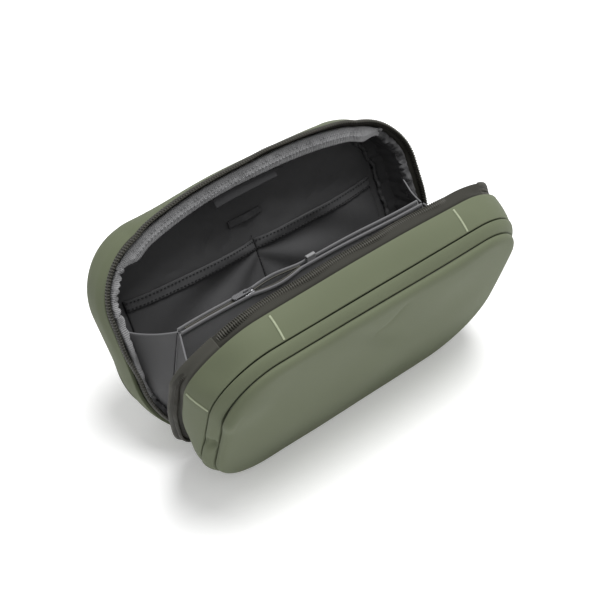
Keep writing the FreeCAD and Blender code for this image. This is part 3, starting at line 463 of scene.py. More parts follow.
GREEN = (0.112, 0.127, 0.078)
MATERIALS = {
    "shell": fabric("shell", GREEN, 0.7, weave=0.45, weave_depth=0.04, tone_and_painted_shade=0.08, sheen=0.02),
    "lining": fabric("lining", (0.082, 0.082, 0.084), 0.62, weave=0.5, weave_depth=0.06, tone_and_painted_shade=0.25),
    # a copy of the hem knit, darkened as painted shade for the right side hem
    "knit_painted_shade": fabric("knit_painted_shade", (0.078, 0.078, 0.080), 0.6, weave=0.5, weave_depth=0.06, tone_and_painted_shade=0.3),
    "pocket": fabric("pocket", (0.076, 0.076, 0.078), 0.62, weave=0.4, weave_depth=0.06, tone_and_painted_shade=0.25),
    "divider": fabric("divider", (0.24, 0.24, 0.245), 0.7, weave=0.4, weave_depth=0.05, tone_and_painted_shade=0.12),
    "knit": fabric("knit", (0.285, 0.285, 0.290), 0.85, ribs=1.3, weave_depth=0.3, tone_and_painted_shade=0.45, sheen=0.1),
    "tape": fabric("tape", (0.031, 0.030, 0.024), 0.72, weave=0.7, weave_depth=0.12, tone_and_painted_shade=0.25, sheen=0.05),
    "end_tab": fabric("end_tab", (0.056, 0.055, 0.046), 0.75, weave=0.8, weave_depth=0.08, tone_and_painted_shade=0.2),
    "binding": fabric("binding", (0.17, 0.17, 0.175), 0.75, weave=0.6, weave_depth=0.08, tone_and_painted_shade=0.15),
    "label": fabric("label", (0.050, 0.050, 0.052), 0.8, weave=0.35, weave_depth=0.05, tone_and_painted_shade=0.1),
    "foam": fabric("foam", (0.3, 0.3, 0.29), 0.9, weave=1.0, weave_depth=0.1, tone_and_painted_shade=0.1),
    "thread": fabric("thread", (0.33, 0.36, 0.25), 0.7, ribs=0.5, weave_depth=0.1, tone_and_painted_shade=0.1),
    "dark_thread": fabric("dark_thread", (0.024, 0.024, 0.025), 0.7, ribs=0.5, weave_depth=0.1, tone_and_painted_shade=0.1),
    "grey_thread": fabric("grey_thread", (0.30, 0.30, 0.31), 0.7, ribs=0.5, weave_depth=0.1, tone_and_painted_shade=0.1),
    "coil": hard("coil", (0.045, 0.043, 0.034), 0.5),
    "metal": hard("metal", (0.30, 0.30, 0.31), 0.28, metallic=0.9),
    "board": hard("board", (0.06, 0.06, 0.06), 0.6),
}


def dress(piece, material, body, slot, *replaced):
    """Gives a piece its material and its body, and hides the CAD nodes that it stands for.

    body is None for a piece that spans two bodies, and it is then attached to neither.
    """
    piece.data.materials.clear()
    piece.data.materials.append(MATERIALS[material])
    if body:
        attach(piece, body)
    if replaced:
        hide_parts(*replaced)
    return piece


# ---- the outer shells

# how deep and how wide a seam's groove is, and how far the piece before it stands out over the next
GROOVE = 2.4
GAP = 0.38
LIP = 0.55
WALL_START = {"front": 5.0, "back": 6.6}


def between_seams(start, end, lip=0.0):
    """Stations from one seam to another, both edges turned in so that a groove shows along each seam.

    lip is how far the second edge stands out over the piece that follows.
    """
    (d0, i0, l0), (d1, i1, l1) = start, end
    first = ((GAP, GROOVE), (GAP, 0.4), (GAP + 0.1, 0.12), (GAP + 0.4, 0.0))
    stations = [(d0 + deeper, i0 + inset, l0 + inset) for deeper, inset in first]
    for deeper, inset in first[::-1]:
        stations.append((d1 - deeper, i1 + inset - lip, l1 + inset - lip))
    return stations


def wall_inset(depth):
    """The front wall's line between its turned-in edges."""
    end, inset, _ = SEAM["front"]
    return np.interp(depth, (WALL_START["front"] + GAP + 0.4, end - GAP - 0.4), (0.0, inset - LIP))


def wall_swell(half, along, depth, x, height):
    """How far a wall of padded cloth stands out from its flat shape."""
    share = np.clip((depth - WALL_START[half]) / (SEAM[half][0] - WALL_START[half]), 0, 1)
    swell = 0.9 * np.sin(math.pi * share) + 0.35 * ripple(along, depth * 2, 5, 60)
    if half == "back":
        swell = swell + 1.8 * smooth(x, -50, -105) * smooth(height, 50, 100) * smooth(share, 0, 0.4)
        swell = swell - 1.7 * smooth(height, 105, 135) * smooth(share, 0.9, 0.3) * (1 - bump(x, 70, 18))
    if half == "front":
        swell = swell - 2.6 * bump(x, -102, 12) * bump(height, 122, 14) * np.sin(math.pi * share)
    return swell


def shell(half):
    body, seam, edge = half + "_half", SEAM[half], EDGE[half]

    def soft_wall(spot):
        return wall_swell(half, spot.along, spot.depth, spot.x, spot.height), 0.0

    wall = band(half + "_shell_wall", half, between_seams((WALL_START[half], 0.0, 0.0), seam, LIP), 1.0,
                relief=soft_wall, outer=True)
    dress(wall, "shell", body, "shell_wall", half + "_wall")

    def soft_edge(spot):
        share = np.clip((spot.depth - seam[0]) / (edge[0] - seam[0]), 0, 1)
        pinch = 4.2 * bump(spot.height, 67, 5) * (spot.x < 0) * (half == "front")
        swell = (1.2 - pinch) * np.sin(math.pi * share)
        return swell + 0.3 * ripple(spot.along, spot.across, 8, 45), 0.0

    side = band(half + "_shell_edge", half, between_seams(seam, edge, LIP), 1.0, step=0.7,
                relief=soft_edge, outer=True)
    dress(side, "shell", body, "shell_edge", half + "_edge_band")
    face = panel(half)
    dress(face, "shell", body, "shell_panel", half + "_panel")


def crease(x, height, start, end, width):
    """A sharp fold from one point to another: 1 on its line, fading away from it and past its ends."""
    dx, dh = end[0] - start[0], end[1] - start[1]
    length = math.hypot(dx, dh)
    along = ((x - start[0]) * dx + (height - start[1]) * dh) / length ** 2
    across = np.abs((x - start[0]) * dh - (height - start[1]) * dx) / length
    return np.exp(-across / width) * smooth(along, -0.2, 0.2) * smooth(along, 1.3, 0.8)


def panel_dents(half, x, height):
    """Soft hollows and folds in a padded outer face."""
    if half == "back":
        return 1.2 * ripple(x, height, 21, 90)
    fold = bump((x - 8) * 0.75 + (height - 88) * 0.66, 0, 7) * bump(height, 94, 26)
    corner = bump(x, -92, 13) * bump(height, 104, 17)
    low = bump(x, 40, 45) * bump(height, 30, 24)
    folds = 0.9 * crease(x, height, (15, 120), (-2, 100), 4)
    folds = folds + 0.5 * crease(x, height, (52, 14), (34, 26), 6)
    return 0.9 * ripple(x, height, 20, 85) - 2.0 * fold + 2.2 * corner - 1.2 * low - folds


def panel(half):
    """A padded outer face: a steep rounded edge out of the seam, and a low crown."""
    depth, inset, low = EDGE[half]
    edge_insets = (1.8, 0.9, 0.4, 0.3, 0.5, 1.0, 1.9, 3.3, 5.0)
    rises = (0.1, 0.15, 0.5, 1.2, 2.0, 2.9, 3.7, 4.3, 4.7)
    crown = 1.8
    rings = 40
    u = np.arange(480) / 480
    columns = []
    for extra, rise in zip(edge_insets, rises):
        x, h, nx, nh = rim(u, inset + extra, low + extra)
        over = 2.4 * bump(h, 98, 9) * smooth(x, -88, -102) * (half == "front")
        columns.append((x + nx * over, np.full_like(x, depth + rise) + 0.6 * over, h + nh * over))
    x, _, h = columns[-1]
    middle = (low + HEIGHT - inset) / 2
    for share in np.linspace(1, 0.0, rings)[1:]:
        swell = crown * (1 - share ** 2)
        level = np.full_like(x, depth + rises[-1] + swell)
        columns.append((x * share, level, middle + (h - middle) * share))
    x, d, h = (np.stack(column, axis=1) for column in zip(*columns))
    weight = np.concatenate([np.linspace(0, 0.7, len(rises)), np.ones(rings - 1)])
    d = d + panel_dents(half, x, h) * weight
    uv = np.stack([x, h], axis=-1)
    points = lay(half, x, d, h)
    return closed_face(half + "_panel_face", points, uv, flip=half == "front")


def closed_face(name, points, uv, flip):
    """A closed pad over rings that shrink to its middle, with a flat back inside its first ring."""
    centre = points[:, -1].mean(axis=0)
    outer = points[:, :-1]
    rows, columns = outer.shape[:2]
    faces = [tuple(f) for f in grid_faces(rows, columns, True)]
    middle = rows * columns
    back = middle + 1
    for i in range(rows):
        k = (i + 1) % rows
        faces.append((i * columns + columns - 1, k * columns + columns - 1, middle))
        faces.append((k * columns, i * columns, back))
    vertices = np.concatenate([outer.reshape(-1, 3), centre[None], points[:, 0].mean(axis=0)[None]])
    middles = [uv[:, -1].mean(axis=0)[None], uv[:, 0].mean(axis=0)[None]]
    uvs = np.concatenate([uv[:, :-1].reshape(-1, 2), *middles])
    if flip:
        faces = [f[::-1] for f in faces]
    return finish_mesh(name, vertices, faces, uvs)


# ---- the zip round the rim

ZIP_SHARE = (share_at_angle(ZIP_END), 1 - share_at_angle(ZIP_END))
TAPE_EDGE = {"front": -3.0, "back": -1.0}
TEETH_INSET = {"front": 1.9, "back": 2.6}
TOOTH_PITCH = {"front": 1.45, "back": 1.8}
BACK_TAPE_OUT = 2.8


def tape_wave(half, spot):
    """How the tape's free edge wanders: most along the front's top, and flared out at its lower left."""
    free = smooth(spot.across, 5.5, 0.5)
    wave = ripple(spot.along, 0 * spot.along, 31 if half == "front" else 37, 34, 5)
    if half == "back":
        stand_out = BACK_TAPE_OUT * smooth(spot.height, 50, 80) * smooth(spot.across, 9, 4.5)
        return stand_out + free * 0.3 * wave, free * 0.25 * wave
    on_top = 0.35 + 0.65 * smooth(spot.height, 110, 136)
    flare = 5.5 + 3.0 * bump(spot.height, 40, 26)
    flare = flare * smooth(spot.height, 130, 100) * smooth(spot.x, -60, -95)
    flare = flare + 3.0 * bump(spot.height, 126, 14) * smooth(spot.x, 74, 100)
    return free * (1.9 * on_top * wave - 0.6 + flare), free * on_top * (1.5 * wave - 0.8)


def zip_half(half):
    body, start = half + "_half", TAPE_EDGE[half]
    profile = ((start, TEETH_INSET[half] + 0.1), (3.5, 1.8), (5.0, 2.6), (9.5, 3.0))
    stations = [(depth, inset, inset) for depth, inset in profile]
    tape = band(half + "_tape", half, stations, 0.6, rows=620, step=0.7, share=ZIP_SHARE,
                relief=lambda spot: tape_wave(half, spot), outer=True)
    dress(tape, "tape", body, "zip_tape", half + "_zip_tape")
    count = int(ROUND * (ZIP_SHARE[1] - ZIP_SHARE[0]) / TOOTH_PITCH[half] * 6)
    u = np.linspace(ZIP_SHARE[0], ZIP_SHARE[1], count)
    # the teeth straddle the tape's edge; round the front's corners they roll over to the inside
    x, h, nx, nh = rim(u, TEETH_INSET[half], TEETH_INSET[half])
    inside = 2.8 * (smooth(x, 60, 82) + smooth(-x, 88, 102)) if half == "front" else 0.0
    near_edge = SimpleNamespace(along=u * ROUND, across=0.9 + 0 * u, x=x, height=h)
    out, deeper = tape_wave(half, near_edge)
    out = out - inside
    path = lay(half, x + nx * out, start + 2.2 + deeper, h + nh * out)
    up = turned(half, 0.0, 1.0, 0.0)
    coil = rod(half + "_coil", path, 1.6, sides=12, squash=(0.85, 1.75), up=up,
               ridges=(TOOTH_PITCH[half], 0.8))
    dress(coil, "coil", body, "zip_coil", half + "_zip_coil")


def end_tabs():
    """Smooth heavier tape that covers the ends of the zip down both sides of the front half."""
    upper_end = (sum(HALF_PARTS[:3]) + 0.64 * HALF_PARTS[3]) / ROUND
    lower_end = share_at_angle(12.0)
    profile = ((TAPE_EDGE["front"] - 0.5, 1.6), (3.5, 1.4), (5.0, 2.1), (8.5, 2.5))
    stations = [(depth, inset, inset) for depth, inset in profile]
    for name, share in (("right", (lower_end, upper_end)), ("left", (1 - upper_end, 1 - lower_end))):
        tab = band("end_tab_" + name, "front", stations, 1.6, rows=260, step=0.7, share=share,
                   relief=lambda spot: tape_wave("front", spot), outer=True)
        dress(tab, "end_tab", "front_half", "zip_tape")


# ---- inside


SIDE_HEM = 4.6
FLANGE = 10.5


def hem_profile(width, slope):
    """Stations of a soft roll that hangs inwards from the rim: its face, its lip, and its underside.

    slope is how much deeper the lip lies than a flat face would.
    """
    lip = 3.0 + width
    face = 3.4 + width * 0.6
    stations = ((6.2, 3.2), (4.4, 3.3), (3.6, 3.9), (3.6 + 0.5 * slope, face), (5.2 + slope, lip),
                (8.2 + slope, lip - 1.4), (10.4 + slope, 4.8))
    return [(depth, inset, inset) for depth, inset in stations]


def gathers(width, size, amount, seed, ends):
    """Puckers along a gathered edge, deepest at its lip.

    The edge narrows to the side hems' width at its ends, and a little in its middle.
    """
    start, end = (share * ROUND for share in ends)

    def relief(spot):
        lip = bump(spot.across, 7, 4.5)
        fine = ripple(spot.along, 0 * spot.along, seed, size, 5)
        taper = smooth(spot.along, start, start + 16) * smooth(spot.along, end, end - 16)
        at_lip = smooth(spot.across, 1, 8)
        narrowed = (width - SIDE_HEM) * (1 - taper) * at_lip * smooth(spot.across, 21, 14)
        narrowed = narrowed + 0.2 * (width - SIDE_HEM) * bump(spot.x, -20, 40) * at_lip
        out = narrowed - lip * amount * np.abs(fine)
        return out, 0.7 * amount * lip * ripple(spot.along, spot.across, seed + 1, size * 1.3, 4)
    return relief


def hems(half):
    body = half + "_half"
    corner = 0.5 - (HALF_PARTS[4] + HALF_PARTS[3] * 0.45) / ROUND
    flange_ends = (corner - 0.004, 1.004 - corner)
    parts = (
        ("top_flange", flange_ends, FLANGE, 0.0, 7.0, 0.6, "knit"),
        # the right hem is the same knit as the left one; its darker colour is painted shade
        ("hem_right", (ZIP_SHARE[0], corner), SIDE_HEM, 2.6, 6.0, 2.2, "knit_painted_shade"),
        ("hem_left", (1 - corner, ZIP_SHARE[1]), SIDE_HEM, 0.4, 6.5, 1.7, "knit"),
    )
    for index, (name, share, width, slope, size, amount, material) in enumerate(parts):
        rows = int((share[1] - share[0]) * 1400)
        piece = band("%s_%s_roll" % (half, name), half, hem_profile(width, slope), 0.8, rows=rows, step=0.7,
                     share=share, relief=gathers(width, size, amount, 50 + 3 * index, share))
        dress(piece, material, body, "knit_hem", "%s_%s" % (half, name))
    inwards = turned(half, 0.0, -1.0, 0.0)
    for inset in (6.6, 9.4):
        u = np.linspace(flange_ends[0] + 16 / ROUND, flange_ends[1] - 16 / ROUND, 400)
        x, h, _, _ = rim(u, inset, inset)
        path = lay(half, x, np.full_like(x, 3.4), h)
        row = stitches("%s_flange_stitches_%d" % (half, inset), path, 2.6, 1.7, 0.34, inwards)
        dress(row, "grey_thread", body, "knit_hem")


def lining(half):
    body, seam, edge = half + "_half", SEAM[half], EDGE[half]
    floor = edge[0] - 3.4

    def creases(spot):
        corner = smooth(np.abs(spot.x), 70, 108) * smooth(spot.height, 20, 60)
        soft = 1.1 * ripple(spot.along, spot.across, 71, 34)
        sharp = 2.4 * corner * ripple(spot.along, spot.across * 0.25, 72, 11)
        return -np.abs(soft + sharp) - 0.2, 0.5 * ripple(spot.along, spot.across, 73, 26)

    profile = ((9.6, seam[1] + 2.4, seam[2] + 2.4), (seam[0], seam[1] + 2.6, seam[2] + 2.6),
               (floor - 1.5, edge[1] + 2.6, edge[2] + 2.6), (floor, edge[1] + 5.0, edge[2] + 5.0))
    sides = band(half + "_lining_sides", half, profile, 0.5, rows=620, step=0.8, relief=creases)
    dress(sides, "lining", body, "lining", half + "_lining")
    rings = 44
    u = np.arange(480) / 480
    x, h, _, _ = rim(u, edge[1] + 4.6, edge[2] + 4.6)
    middle = (edge[2] + HEIGHT - edge[1]) / 2
    share = np.linspace(1.0, 0.0, rings)[None]
    x, h = x[:, None] * share, middle + (h[:, None] - middle) * share
    wave = 1.2 * ripple(x, h, 75, 60) + 0.5 * ripple(x, h, 76, 18)
    d = floor - 0.6 - np.abs(wave) * (1 - share ** 6)
    points = lay(half, x, d, h)
    uv = np.stack([x, h], axis=-1)
    floor_piece = closed_face(half + "_lining_floor", points, uv, flip=half == "back")
    dress(floor_piece, "lining", body, "lining", half + "_lining")
    # the raw edges of the two pieces are sewn together and stand up as a puckered roll
    u = np.arange(1400) / 1400
    pucker = 1.6 * ripple(u * ROUND, 0 * u, 78, 13, 5)
    x, h, _, _ = rim(u, edge[1] + 5.2 + 0.8 * pucker, edge[2] + 5.2 + 0.8 * pucker)
    path = lay(half, x, floor - 2.2 + 0.7 * ripple(u * ROUND, 0 * u, 79, 9, 5), h)
    up = turned(half, 0.0, 1.0, 0.0)
    roll = rod(half + "_lining_seam", path, 1.6, sides=8, up=up, closed=True, ridges=(5.3, 0.25))
    dress(roll, "lining", body, "lining")


# ---- on the back lining

POCKET_FOOT = 31.0
POCKET_SEAM = 1.0
POCKET_SIDE = {"left": -97.0, "right": 98.0}
HEM_HEIGHT = 7.0


def pocket_mouth(x):
    """Height of the pockets' mouths: lowest in the middle, and a little higher on the left."""
    return 90.0 + 3.0 * (x / 98) ** 2 - 0.02 * x


def pocket_depth(side, x, height):
    """Depth of a pocket's sheet: it lies on the lining at its seams and stands off it at its mouth."""
    floor = EDGE["back"][0] - 4.6
    across = (x - POCKET_SEAM) / (POCKET_SIDE[side] - POCKET_SEAM)
    held = np.sqrt(np.clip(np.sin(math.pi * np.clip(across, 0, 1)), 0, 1))
    stand_off = 6.2 * held * smooth(height, POCKET_FOOT, 96)
    fan = np.sin(np.arctan2(height - 84, np.abs(x - POCKET_SEAM) + 6) * 9) * bump(across, 0.3, 0.3)
    folds = 1.9 * fan + 1.6 * ripple(x * 0.5, height, 81 if side == "left" else 85, 26)
    return floor - stand_off - folds * held - 0.3


def pocket(side):
    across = np.linspace(POCKET_SEAM, POCKET_SIDE[side], 130)
    rise = np.linspace(0, 1, 60)
    x, share = np.meshgrid(across, rise, indexing="ij")
    flip = side == "left"
    top = pocket_mouth(x) - HEM_HEIGHT + 0.6
    h = POCKET_FOOT + (top - POCKET_FOOT) * share
    d = pocket_depth(side, x, h)
    uv = np.stack([x, h], axis=-1)
    sheet = cloth("pocket_%s_sheet" % side, lay("back", x, d, h), uv, 0.5, flip=flip)
    dress(sheet, "pocket", "back_half", "pocket", "back_pocket_" + side)
    # the hem is the same cloth folded over, so it is thicker and its lower edge casts a line
    x, share = np.meshgrid(across, np.linspace(0, 1, 16), indexing="ij")
    h = pocket_mouth(x) - HEM_HEIGHT * (1 - share)
    thick = 1.15 - 0.5 * share + 0.25 * ripple(x, h * 0, 90, 7)
    d = pocket_depth(side, x, h) - thick
    uv = np.stack([x, h], axis=-1)
    hem = cloth("pocket_%s_hem" % side, lay("back", x, d, h), uv, 1.3, flip=flip)
    dress(hem, "pocket", "back_half", "knit_hem", "back_pocket_hem_" + side)
    outward = turned("back", 0.0, -1.0, 0.0)
    for name, drop in (("upper", 1.4), ("lower", HEM_HEIGHT - 1.4)):
        xs = np.linspace(across[0], across[-1], 200)
        hs = pocket_mouth(xs) - drop
        raised = 1.3 if name == "lower" else 0.95
        path = lay("back", xs, pocket_depth(side, xs, hs) - raised, hs)
        row = stitches("pocket_%s_%s_stitches" % (side, name), path, 2.6, 1.6, 0.36, outward)
        dress(row, "dark_thread", "back_half", "pocket")


def pocket_seam():
    """The stitched line that divides the two pockets."""
    outward = turned("back", 0.0, -1.0, 0.0)
    hs = np.linspace(94, POCKET_FOOT + 4, 120)
    xs = POCKET_SEAM + 0.25 * np.sin(hs / 5)
    path = lay("back", xs, np.full_like(xs, EDGE["back"][0] - 5.6), hs)
    row = stitches("pocket_seam_stitches", path, 2.4, 1.6, 0.35, outward)
    dress(row, "dark_thread", "back_half", "pocket")


def key_loop():
    """A webbing loop whose middle stands off the lining, sewn down at both ends."""
    span = np.linspace(-12.5, 12.5, 60)
    across = np.linspace(-2.2, 2.2, 10)
    x, dh = np.meshgrid(span, across, indexing="ij")
    d = EDGE["back"][0] - 4.9 - 2.6 * smooth(12 - np.abs(x), 1, 11) - 0.2 * (1 - (dh / 2.2) ** 2)
    h = 105.5 + dh
    uv = np.stack([x, dh], axis=-1)
    loop = cloth("key_loop_webbing", lay("back", x + 1, d, h), uv, 0.7, flip=True)
    dress(loop, "lining", "back_half", "webbing", "key_loop")
    for end in (-10.6, 12.6):
        hs = np.linspace(103.2, 107.8, 30)
        path = lay("back", np.full_like(hs, end), np.full_like(hs, EDGE["back"][0] - 5.4), hs)
        name = "key_loop_bar_left" if end < 0 else "key_loop_bar_right"
        dress(rod(name, path, 0.4, ridges=(0.6, 0.4)), "dark_thread", "back_half", "webbing")


def label():
    """A plain label that hangs under the top flange."""
    x, h = np.meshgrid(np.linspace(-26, 21, 70), np.linspace(120.0, 131.6, 18), indexing="ij")
    d = 9.4 + 0.35 * ripple(x, h, 95, 30) - 0.05 * (131.6 - h)
    uv = np.stack([x, h], axis=-1)
    plate = cloth("label_cloth", lay("back", x, d, h), uv, 0.8, flip=True)
    dress(plate, "label", "back_half", "label", "label_tab")


# ---- the divider

DIVIDER_TOP_HALF = 92.0
DIVIDER_SLOPE = 0.27
DIVIDER_LOW = 8.0
MOUTH = (-43.4, -3.8)
SHEET_OUT = 2.2


def divider_top(x):
    """Height of the divider's top edge: it lies a little askew, higher on the left."""
    return 92.4 - 0.034 * np.maximum(x, MOUTH[0]) + 0.35 * np.sin(x / 17)


def mouth_gap(x):
    """How far the divider's zipped mouth gapes on each side."""
    share = np.clip((x - MOUTH[0]) / (MOUTH[1] - MOUTH[0]), 0, 1)
    return 2.6 * np.sin(math.pi * share) ** 1.3


def divider_reach(height):
    """Half the divider's width at a height: slanted sides, and round corners at the bottom."""
    slanted = DIVIDER_TOP_HALF + DIVIDER_SLOPE * (93 - height)
    radius = 46.0
    below = np.clip((DIVIDER_LOW + radius - height) / radius, 0, 1)
    return np.minimum(slanted, DIVIDER_TOP_HALF + 10.5) - radius * (1 - np.sqrt(1 - below ** 2))


def divider_points(side, x, height, extra=0.0):
    """Points of a divider sheet. side is -1 for the front sheet and 1 for the back one."""
    near_top = smooth(height, 62, 92)
    belly = 1.2 * ripple(x, height, 101 + side, 70) * smooth(height, 20, 50)
    out = side * (SHEET_OUT + extra + mouth_gap(x) * near_top) + 0.5 * belly
    return place("divider", x, out, height)


def divider_sheet(side, name, slot_nodes):
    share_x, share_h = np.meshgrid(np.linspace(-1, 1, 150), np.linspace(0, 1, 60), indexing="ij")
    height = DIVIDER_LOW + (92.0 - DIVIDER_LOW) * share_h
    x = share_x * divider_reach(height)
    height = height + (divider_top(x) - 93.0) * smooth(share_h, 0.5, 1)
    points = divider_points(side, x, height)
    sheet = cloth(name, points, np.stack([x, height], axis=-1), 0.5, flip=side > 0)
    dress(sheet, "divider", "divider", "divider_fabric", slot_nodes)
    up = turned("divider", 0.0, 0.0, 1.0)
    xs = np.linspace(-DIVIDER_TOP_HALF, DIVIDER_TOP_HALF, 260)
    path = divider_points(side, xs, divider_top(xs) - 1.6)
    bound = rod("divider_%s_bound_edge" % ("front" if side < 0 else "back"), path, 0.85, sides=12,
                squash=(0.85, 1.9), up=up, ridges=(1.3, 0.05))
    dress(bound, "binding", "divider", "binding", "divider_%s_binding" % ("front" if side < 0 else "back"))


def divider_zip():
    """The two rows of teeth: meshed on the closed stretch, apart along the open mouth."""
    up = turned("divider", 0.0, 0.0, 1.0)
    xs = np.arange(-88.0, MOUTH[1], 0.26)
    for side, name in ((-1, "front"), (1, "back")):
        out = side * (0.62 + np.clip(mouth_gap(xs) - 0.2, 0, None) * 0.9)
        path = place("divider", xs, out, divider_top(xs) - 1.5)
        row = rod("divider_teeth_" + name, path, 0.72, sides=8, up=up, ridges=(1.05, 0.45))
        dress(row, "coil", "divider", "zip_coil", "divider_zip_coil")


def divider_tab():
    """A folded webbing tab that stands up at the end of the divider's zip."""
    span, turn = np.meshgrid(np.linspace(-3.2, 3.2, 20), np.linspace(-1, 1, 41), indexing="ij")
    fold = np.abs(turn)
    height = divider_top(4.0) + 3.6 - 8.5 * fold ** 1.5
    out = np.sign(turn) * 1.3 * np.clip(fold * 6, 0, 1) ** 0.5
    tab = cloth("divider_webbing_tab", place("divider", 4.0 + span, out, height),
                np.stack([span, turn * 10], axis=-1), 0.6)
    dress(tab, "divider", "divider", "webbing", "divider_tab")


# ---- fabric between the halves


def gusset(half, side):
    """A wing of lining fabric from the divider's side to a half's side wall, with a bound top edge."""
    mirror = -1 if side == "left" else 1
    inner_share, drop = np.meshgrid(np.linspace(0, 1, 46), np.linspace(0, 1, 54), indexing="ij")
    inner_h = divider_top(mirror * 92.0) - 2.0 - 66 * drop
    inner = place("divider", mirror * (divider_reach(inner_h) + 0.4), OUTWARD[half] * 1.2, inner_h)
    outer_h = 86.0 - 64 * drop
    inset = 6.8 if half == "back" else 7.4
    below = np.clip(BOTTOM_CORNER - outer_h, 0, None)
    reach = BOTTOM_CORNER - inset
    outer_x = WIDTH / 2 - inset - (reach - np.sqrt(reach ** 2 - below ** 2))
    outer = lay(half, mirror * outer_x, np.full_like(outer_h, 10.5), outer_h)
    share = inner_share[..., None]
    points = inner * (1 - share) + outer * share
    slack = np.sin(math.pi * inner_share)
    points[..., 2] -= 2.2 * slack * (1 - drop)
    points[..., 0] += mirror * (1.6 * slack * np.sin(math.pi * drop)
                                + 0.9 * slack * ripple(inner_share * 40, drop * 64, 120, 30))
    flip = (half == "back") == (side == "left")
    name = "gusset_%s_%s" % (half, side)
    uv = np.stack([inner_share * 40, drop * 64], axis=-1)
    wing = cloth(name, points, uv, 0.5, flip=flip)
    dress(wing, "lining", None, "lining", "wing_%s_%s" % (half, side))
    edge = rod(name + "_edge", points[:, 0], 0.55, sides=8)
    dress(edge, "binding", None, "binding")
    for piece in (wing, edge):
        across_joint(piece, half)


def across_joint(piece, half):
    """Bakes a piece's placement into its mesh; either half is treated the same."""
    if half == "back":
        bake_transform(piece)
    else:
        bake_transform(piece)


def hinge_fabric():
    """The fabric hinge and the zip's end tabs: cloth from wall to wall, folded under the divider."""
    edge_depth = 5.6
    reach = share_at_angle(36.0)
    for half in ("back", "front"):
        u, t = np.meshgrid(np.linspace(-reach, reach, 260), np.linspace(0, 1, 14), indexing="ij")
        x, h, _, _ = rim(u, 0.9, 0.9)
        outer = lay(half, x, np.full_like(x, edge_depth), h)
        fold = place("divider", x, 0.0 * x, h * 0.97 + 0.6)
        share = t[..., None]
        points = outer * (1 - share) + fold * share
        at_ends = smooth(np.abs(x), 70, 95)
        points[..., 0] += np.sign(x) * 2.0 * at_ends * np.sin(math.pi * t)
        piece = cloth("hinge_fabric_" + half, points, np.stack([u * ROUND, t * 6], axis=-1), 0.7,
                      flip=half == "back")
        dress(piece, "tape", None, "zip_tape", "hinge_strip", "zip_end_tab_left", "zip_end_tab_right")
        across_joint(piece, half)


# ---- raised stitching and metal


def bartacks():
    """Raised bars of thread across the front wall: two on top, and one round each top corner."""
    start, length = 7.2, 14.6
    top = 0.5 - 67.0 / ROUND
    corner = (sum(HALF_PARTS[:3]) + math.radians(11) * TOP_CORNER) / ROUND
    shares = {"top_right": top, "side_right": corner, "top_left": 1 - top, "side_left": 1 - corner}
    for name, u in shares.items():
        depth = np.linspace(start, start + length, 120)
        lean = 2.2 * (1 if "left" in name else -1) * ("side" in name)
        along = u * ROUND + lean * (depth - start) / length
        x, h, nx, nh = rim(along / ROUND, wall_inset(depth), wall_inset(depth))
        out = wall_swell("front", along, depth, x, h) + 0.15
        path = lay("front", x + nx * out, depth, h + nh * out)
        up = turned("front", nx[0], 0.0, nh[0])
        bar = rod("bartack_" + name, path, 0.8, sides=10, squash=(1.0, 0.6), up=up, ridges=(0.55, 0.3))
        dress(bar, "thread", "front_half", "bartack", "wall_bartacks")


def metal_parts():
    """The sliders and their pulls. Each CAD node is named as the body that it is on."""
    slots = {"main_slider": "slider_metal", "main_pull": "pull",
             "divider_slider": "slider_metal", "divider_pull": "pull"}
    for name, slot in slots.items():
        dress(softened(name + "_cast", name), "metal", name, slot, name)


# ---- the camera, light and floor


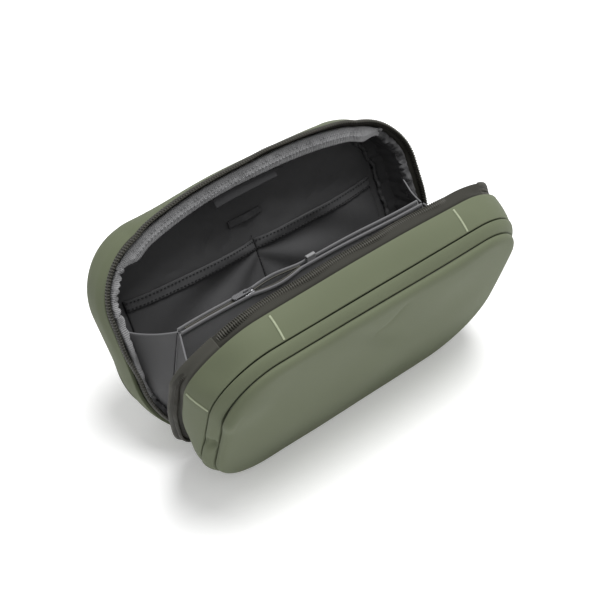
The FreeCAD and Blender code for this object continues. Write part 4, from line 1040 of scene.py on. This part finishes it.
def camera():
    """The viewpoint, found from the rim's and the divider's perspective."""
    turn, rise, roll = math.radians(-38.243), math.radians(47.324), math.radians(7.3)
    distance, lens = 815.26, 78.81
    target = Vector((-3.485, 14.208, 58.833))
    away = Vector((math.sin(turn) * math.cos(rise), -math.cos(turn) * math.cos(rise), math.sin(rise)))
    # the view was found with the pouch turned about its hinge, so view and pouch are turned back together
    turned_back = Matrix.Rotation(roll, 3, "X")
    eye = turned_back @ (target + away * distance) + Vector(HINGE)
    away, up = turned_back @ away, turned_back @ Vector((0, 0, 1))
    right = up.cross(away).normalized()
    true_up = away.cross(right)
    data = bpy.data.cameras.new("camera")
    data.lens, data.sensor_width, data.clip_start, data.clip_end = lens, 36.0, 0.01, 50.0
    viewer = bpy.data.objects.new("camera", data)
    axes = Matrix((right, true_up, away)).transposed().to_4x4()
    viewer.matrix_world = Matrix.Translation(eye * MM) @ axes
    bpy.context.scene.collection.objects.link(viewer)
    bpy.context.scene.camera = viewer


def lamp(name, place_at, towards, size, power):
    data = bpy.data.lights.new(name, "AREA")
    data.shape, data.size, data.energy = "DISK", size, power
    light = bpy.data.objects.new(name, data)
    light.location = place_at
    light.rotation_euler = (Vector(place_at) - Vector(towards)).to_track_quat("Z", "Y").to_euler()
    bpy.context.scene.collection.objects.link(light)


def studio():
    bpy.ops.mesh.primitive_plane_add(size=12, location=(0, 0, 0))
    floor = bpy.context.active_object
    floor.name = "studio_floor"
    material, _, principled = shader("floor", (0.95, 0.95, 0.95), 0.9)
    principled.inputs["Emission Color"].default_value = (1, 1, 1, 1)
    principled.inputs["Emission Strength"].default_value = 0.2
    principled.inputs["Specular IOR Level"].default_value = 0.1
    floor.data.materials.append(material)
    world = bpy.data.worlds.new("studio")
    world.use_nodes = True
    world.node_tree.nodes["Background"].inputs["Color"].default_value = (1, 1, 1, 1)
    world.node_tree.nodes["Background"].inputs["Strength"].default_value = 0.55
    bpy.context.scene.world = world
    lamp("key", (0.28, -0.12, 1.5), (0, 0, 0.05), 0.9, 24)
    lamp("fill", (0.2, -1.2, 0.8), (0, 0, 0.05), 1.2, 0.4)
    bpy.context.scene.view_settings.view_transform = "Standard"


# ---- all of it

camera()
studio()
for half in ("front", "back"):
    shell(half)
    zip_half(half)
    hems(half)
    lining(half)
for side in ("left", "right"):
    pocket(side)
    gusset("back", side)
    gusset("front", side)
pocket_seam()
key_loop()
label()
end_tabs()
divider_sheet(-1, "divider_front_sheet", "divider_front_panel")
divider_sheet(1, "divider_back_sheet", "divider_back_panel")
divider_zip()
divider_tab()
hinge_fabric()
bartacks()
metal_parts()

CARRIED = {"foam": ("front_foam", "back_foam"), "coil": ("front_zip_stops", "back_zip_stops"),
           "board": ("divider_board",)}
for material, nodes in CARRIED.items():
    for name in nodes:
        carried = frame["nodes"][name]
        carried.data.materials.clear()
        carried.data.materials.append(MATERIALS[material])
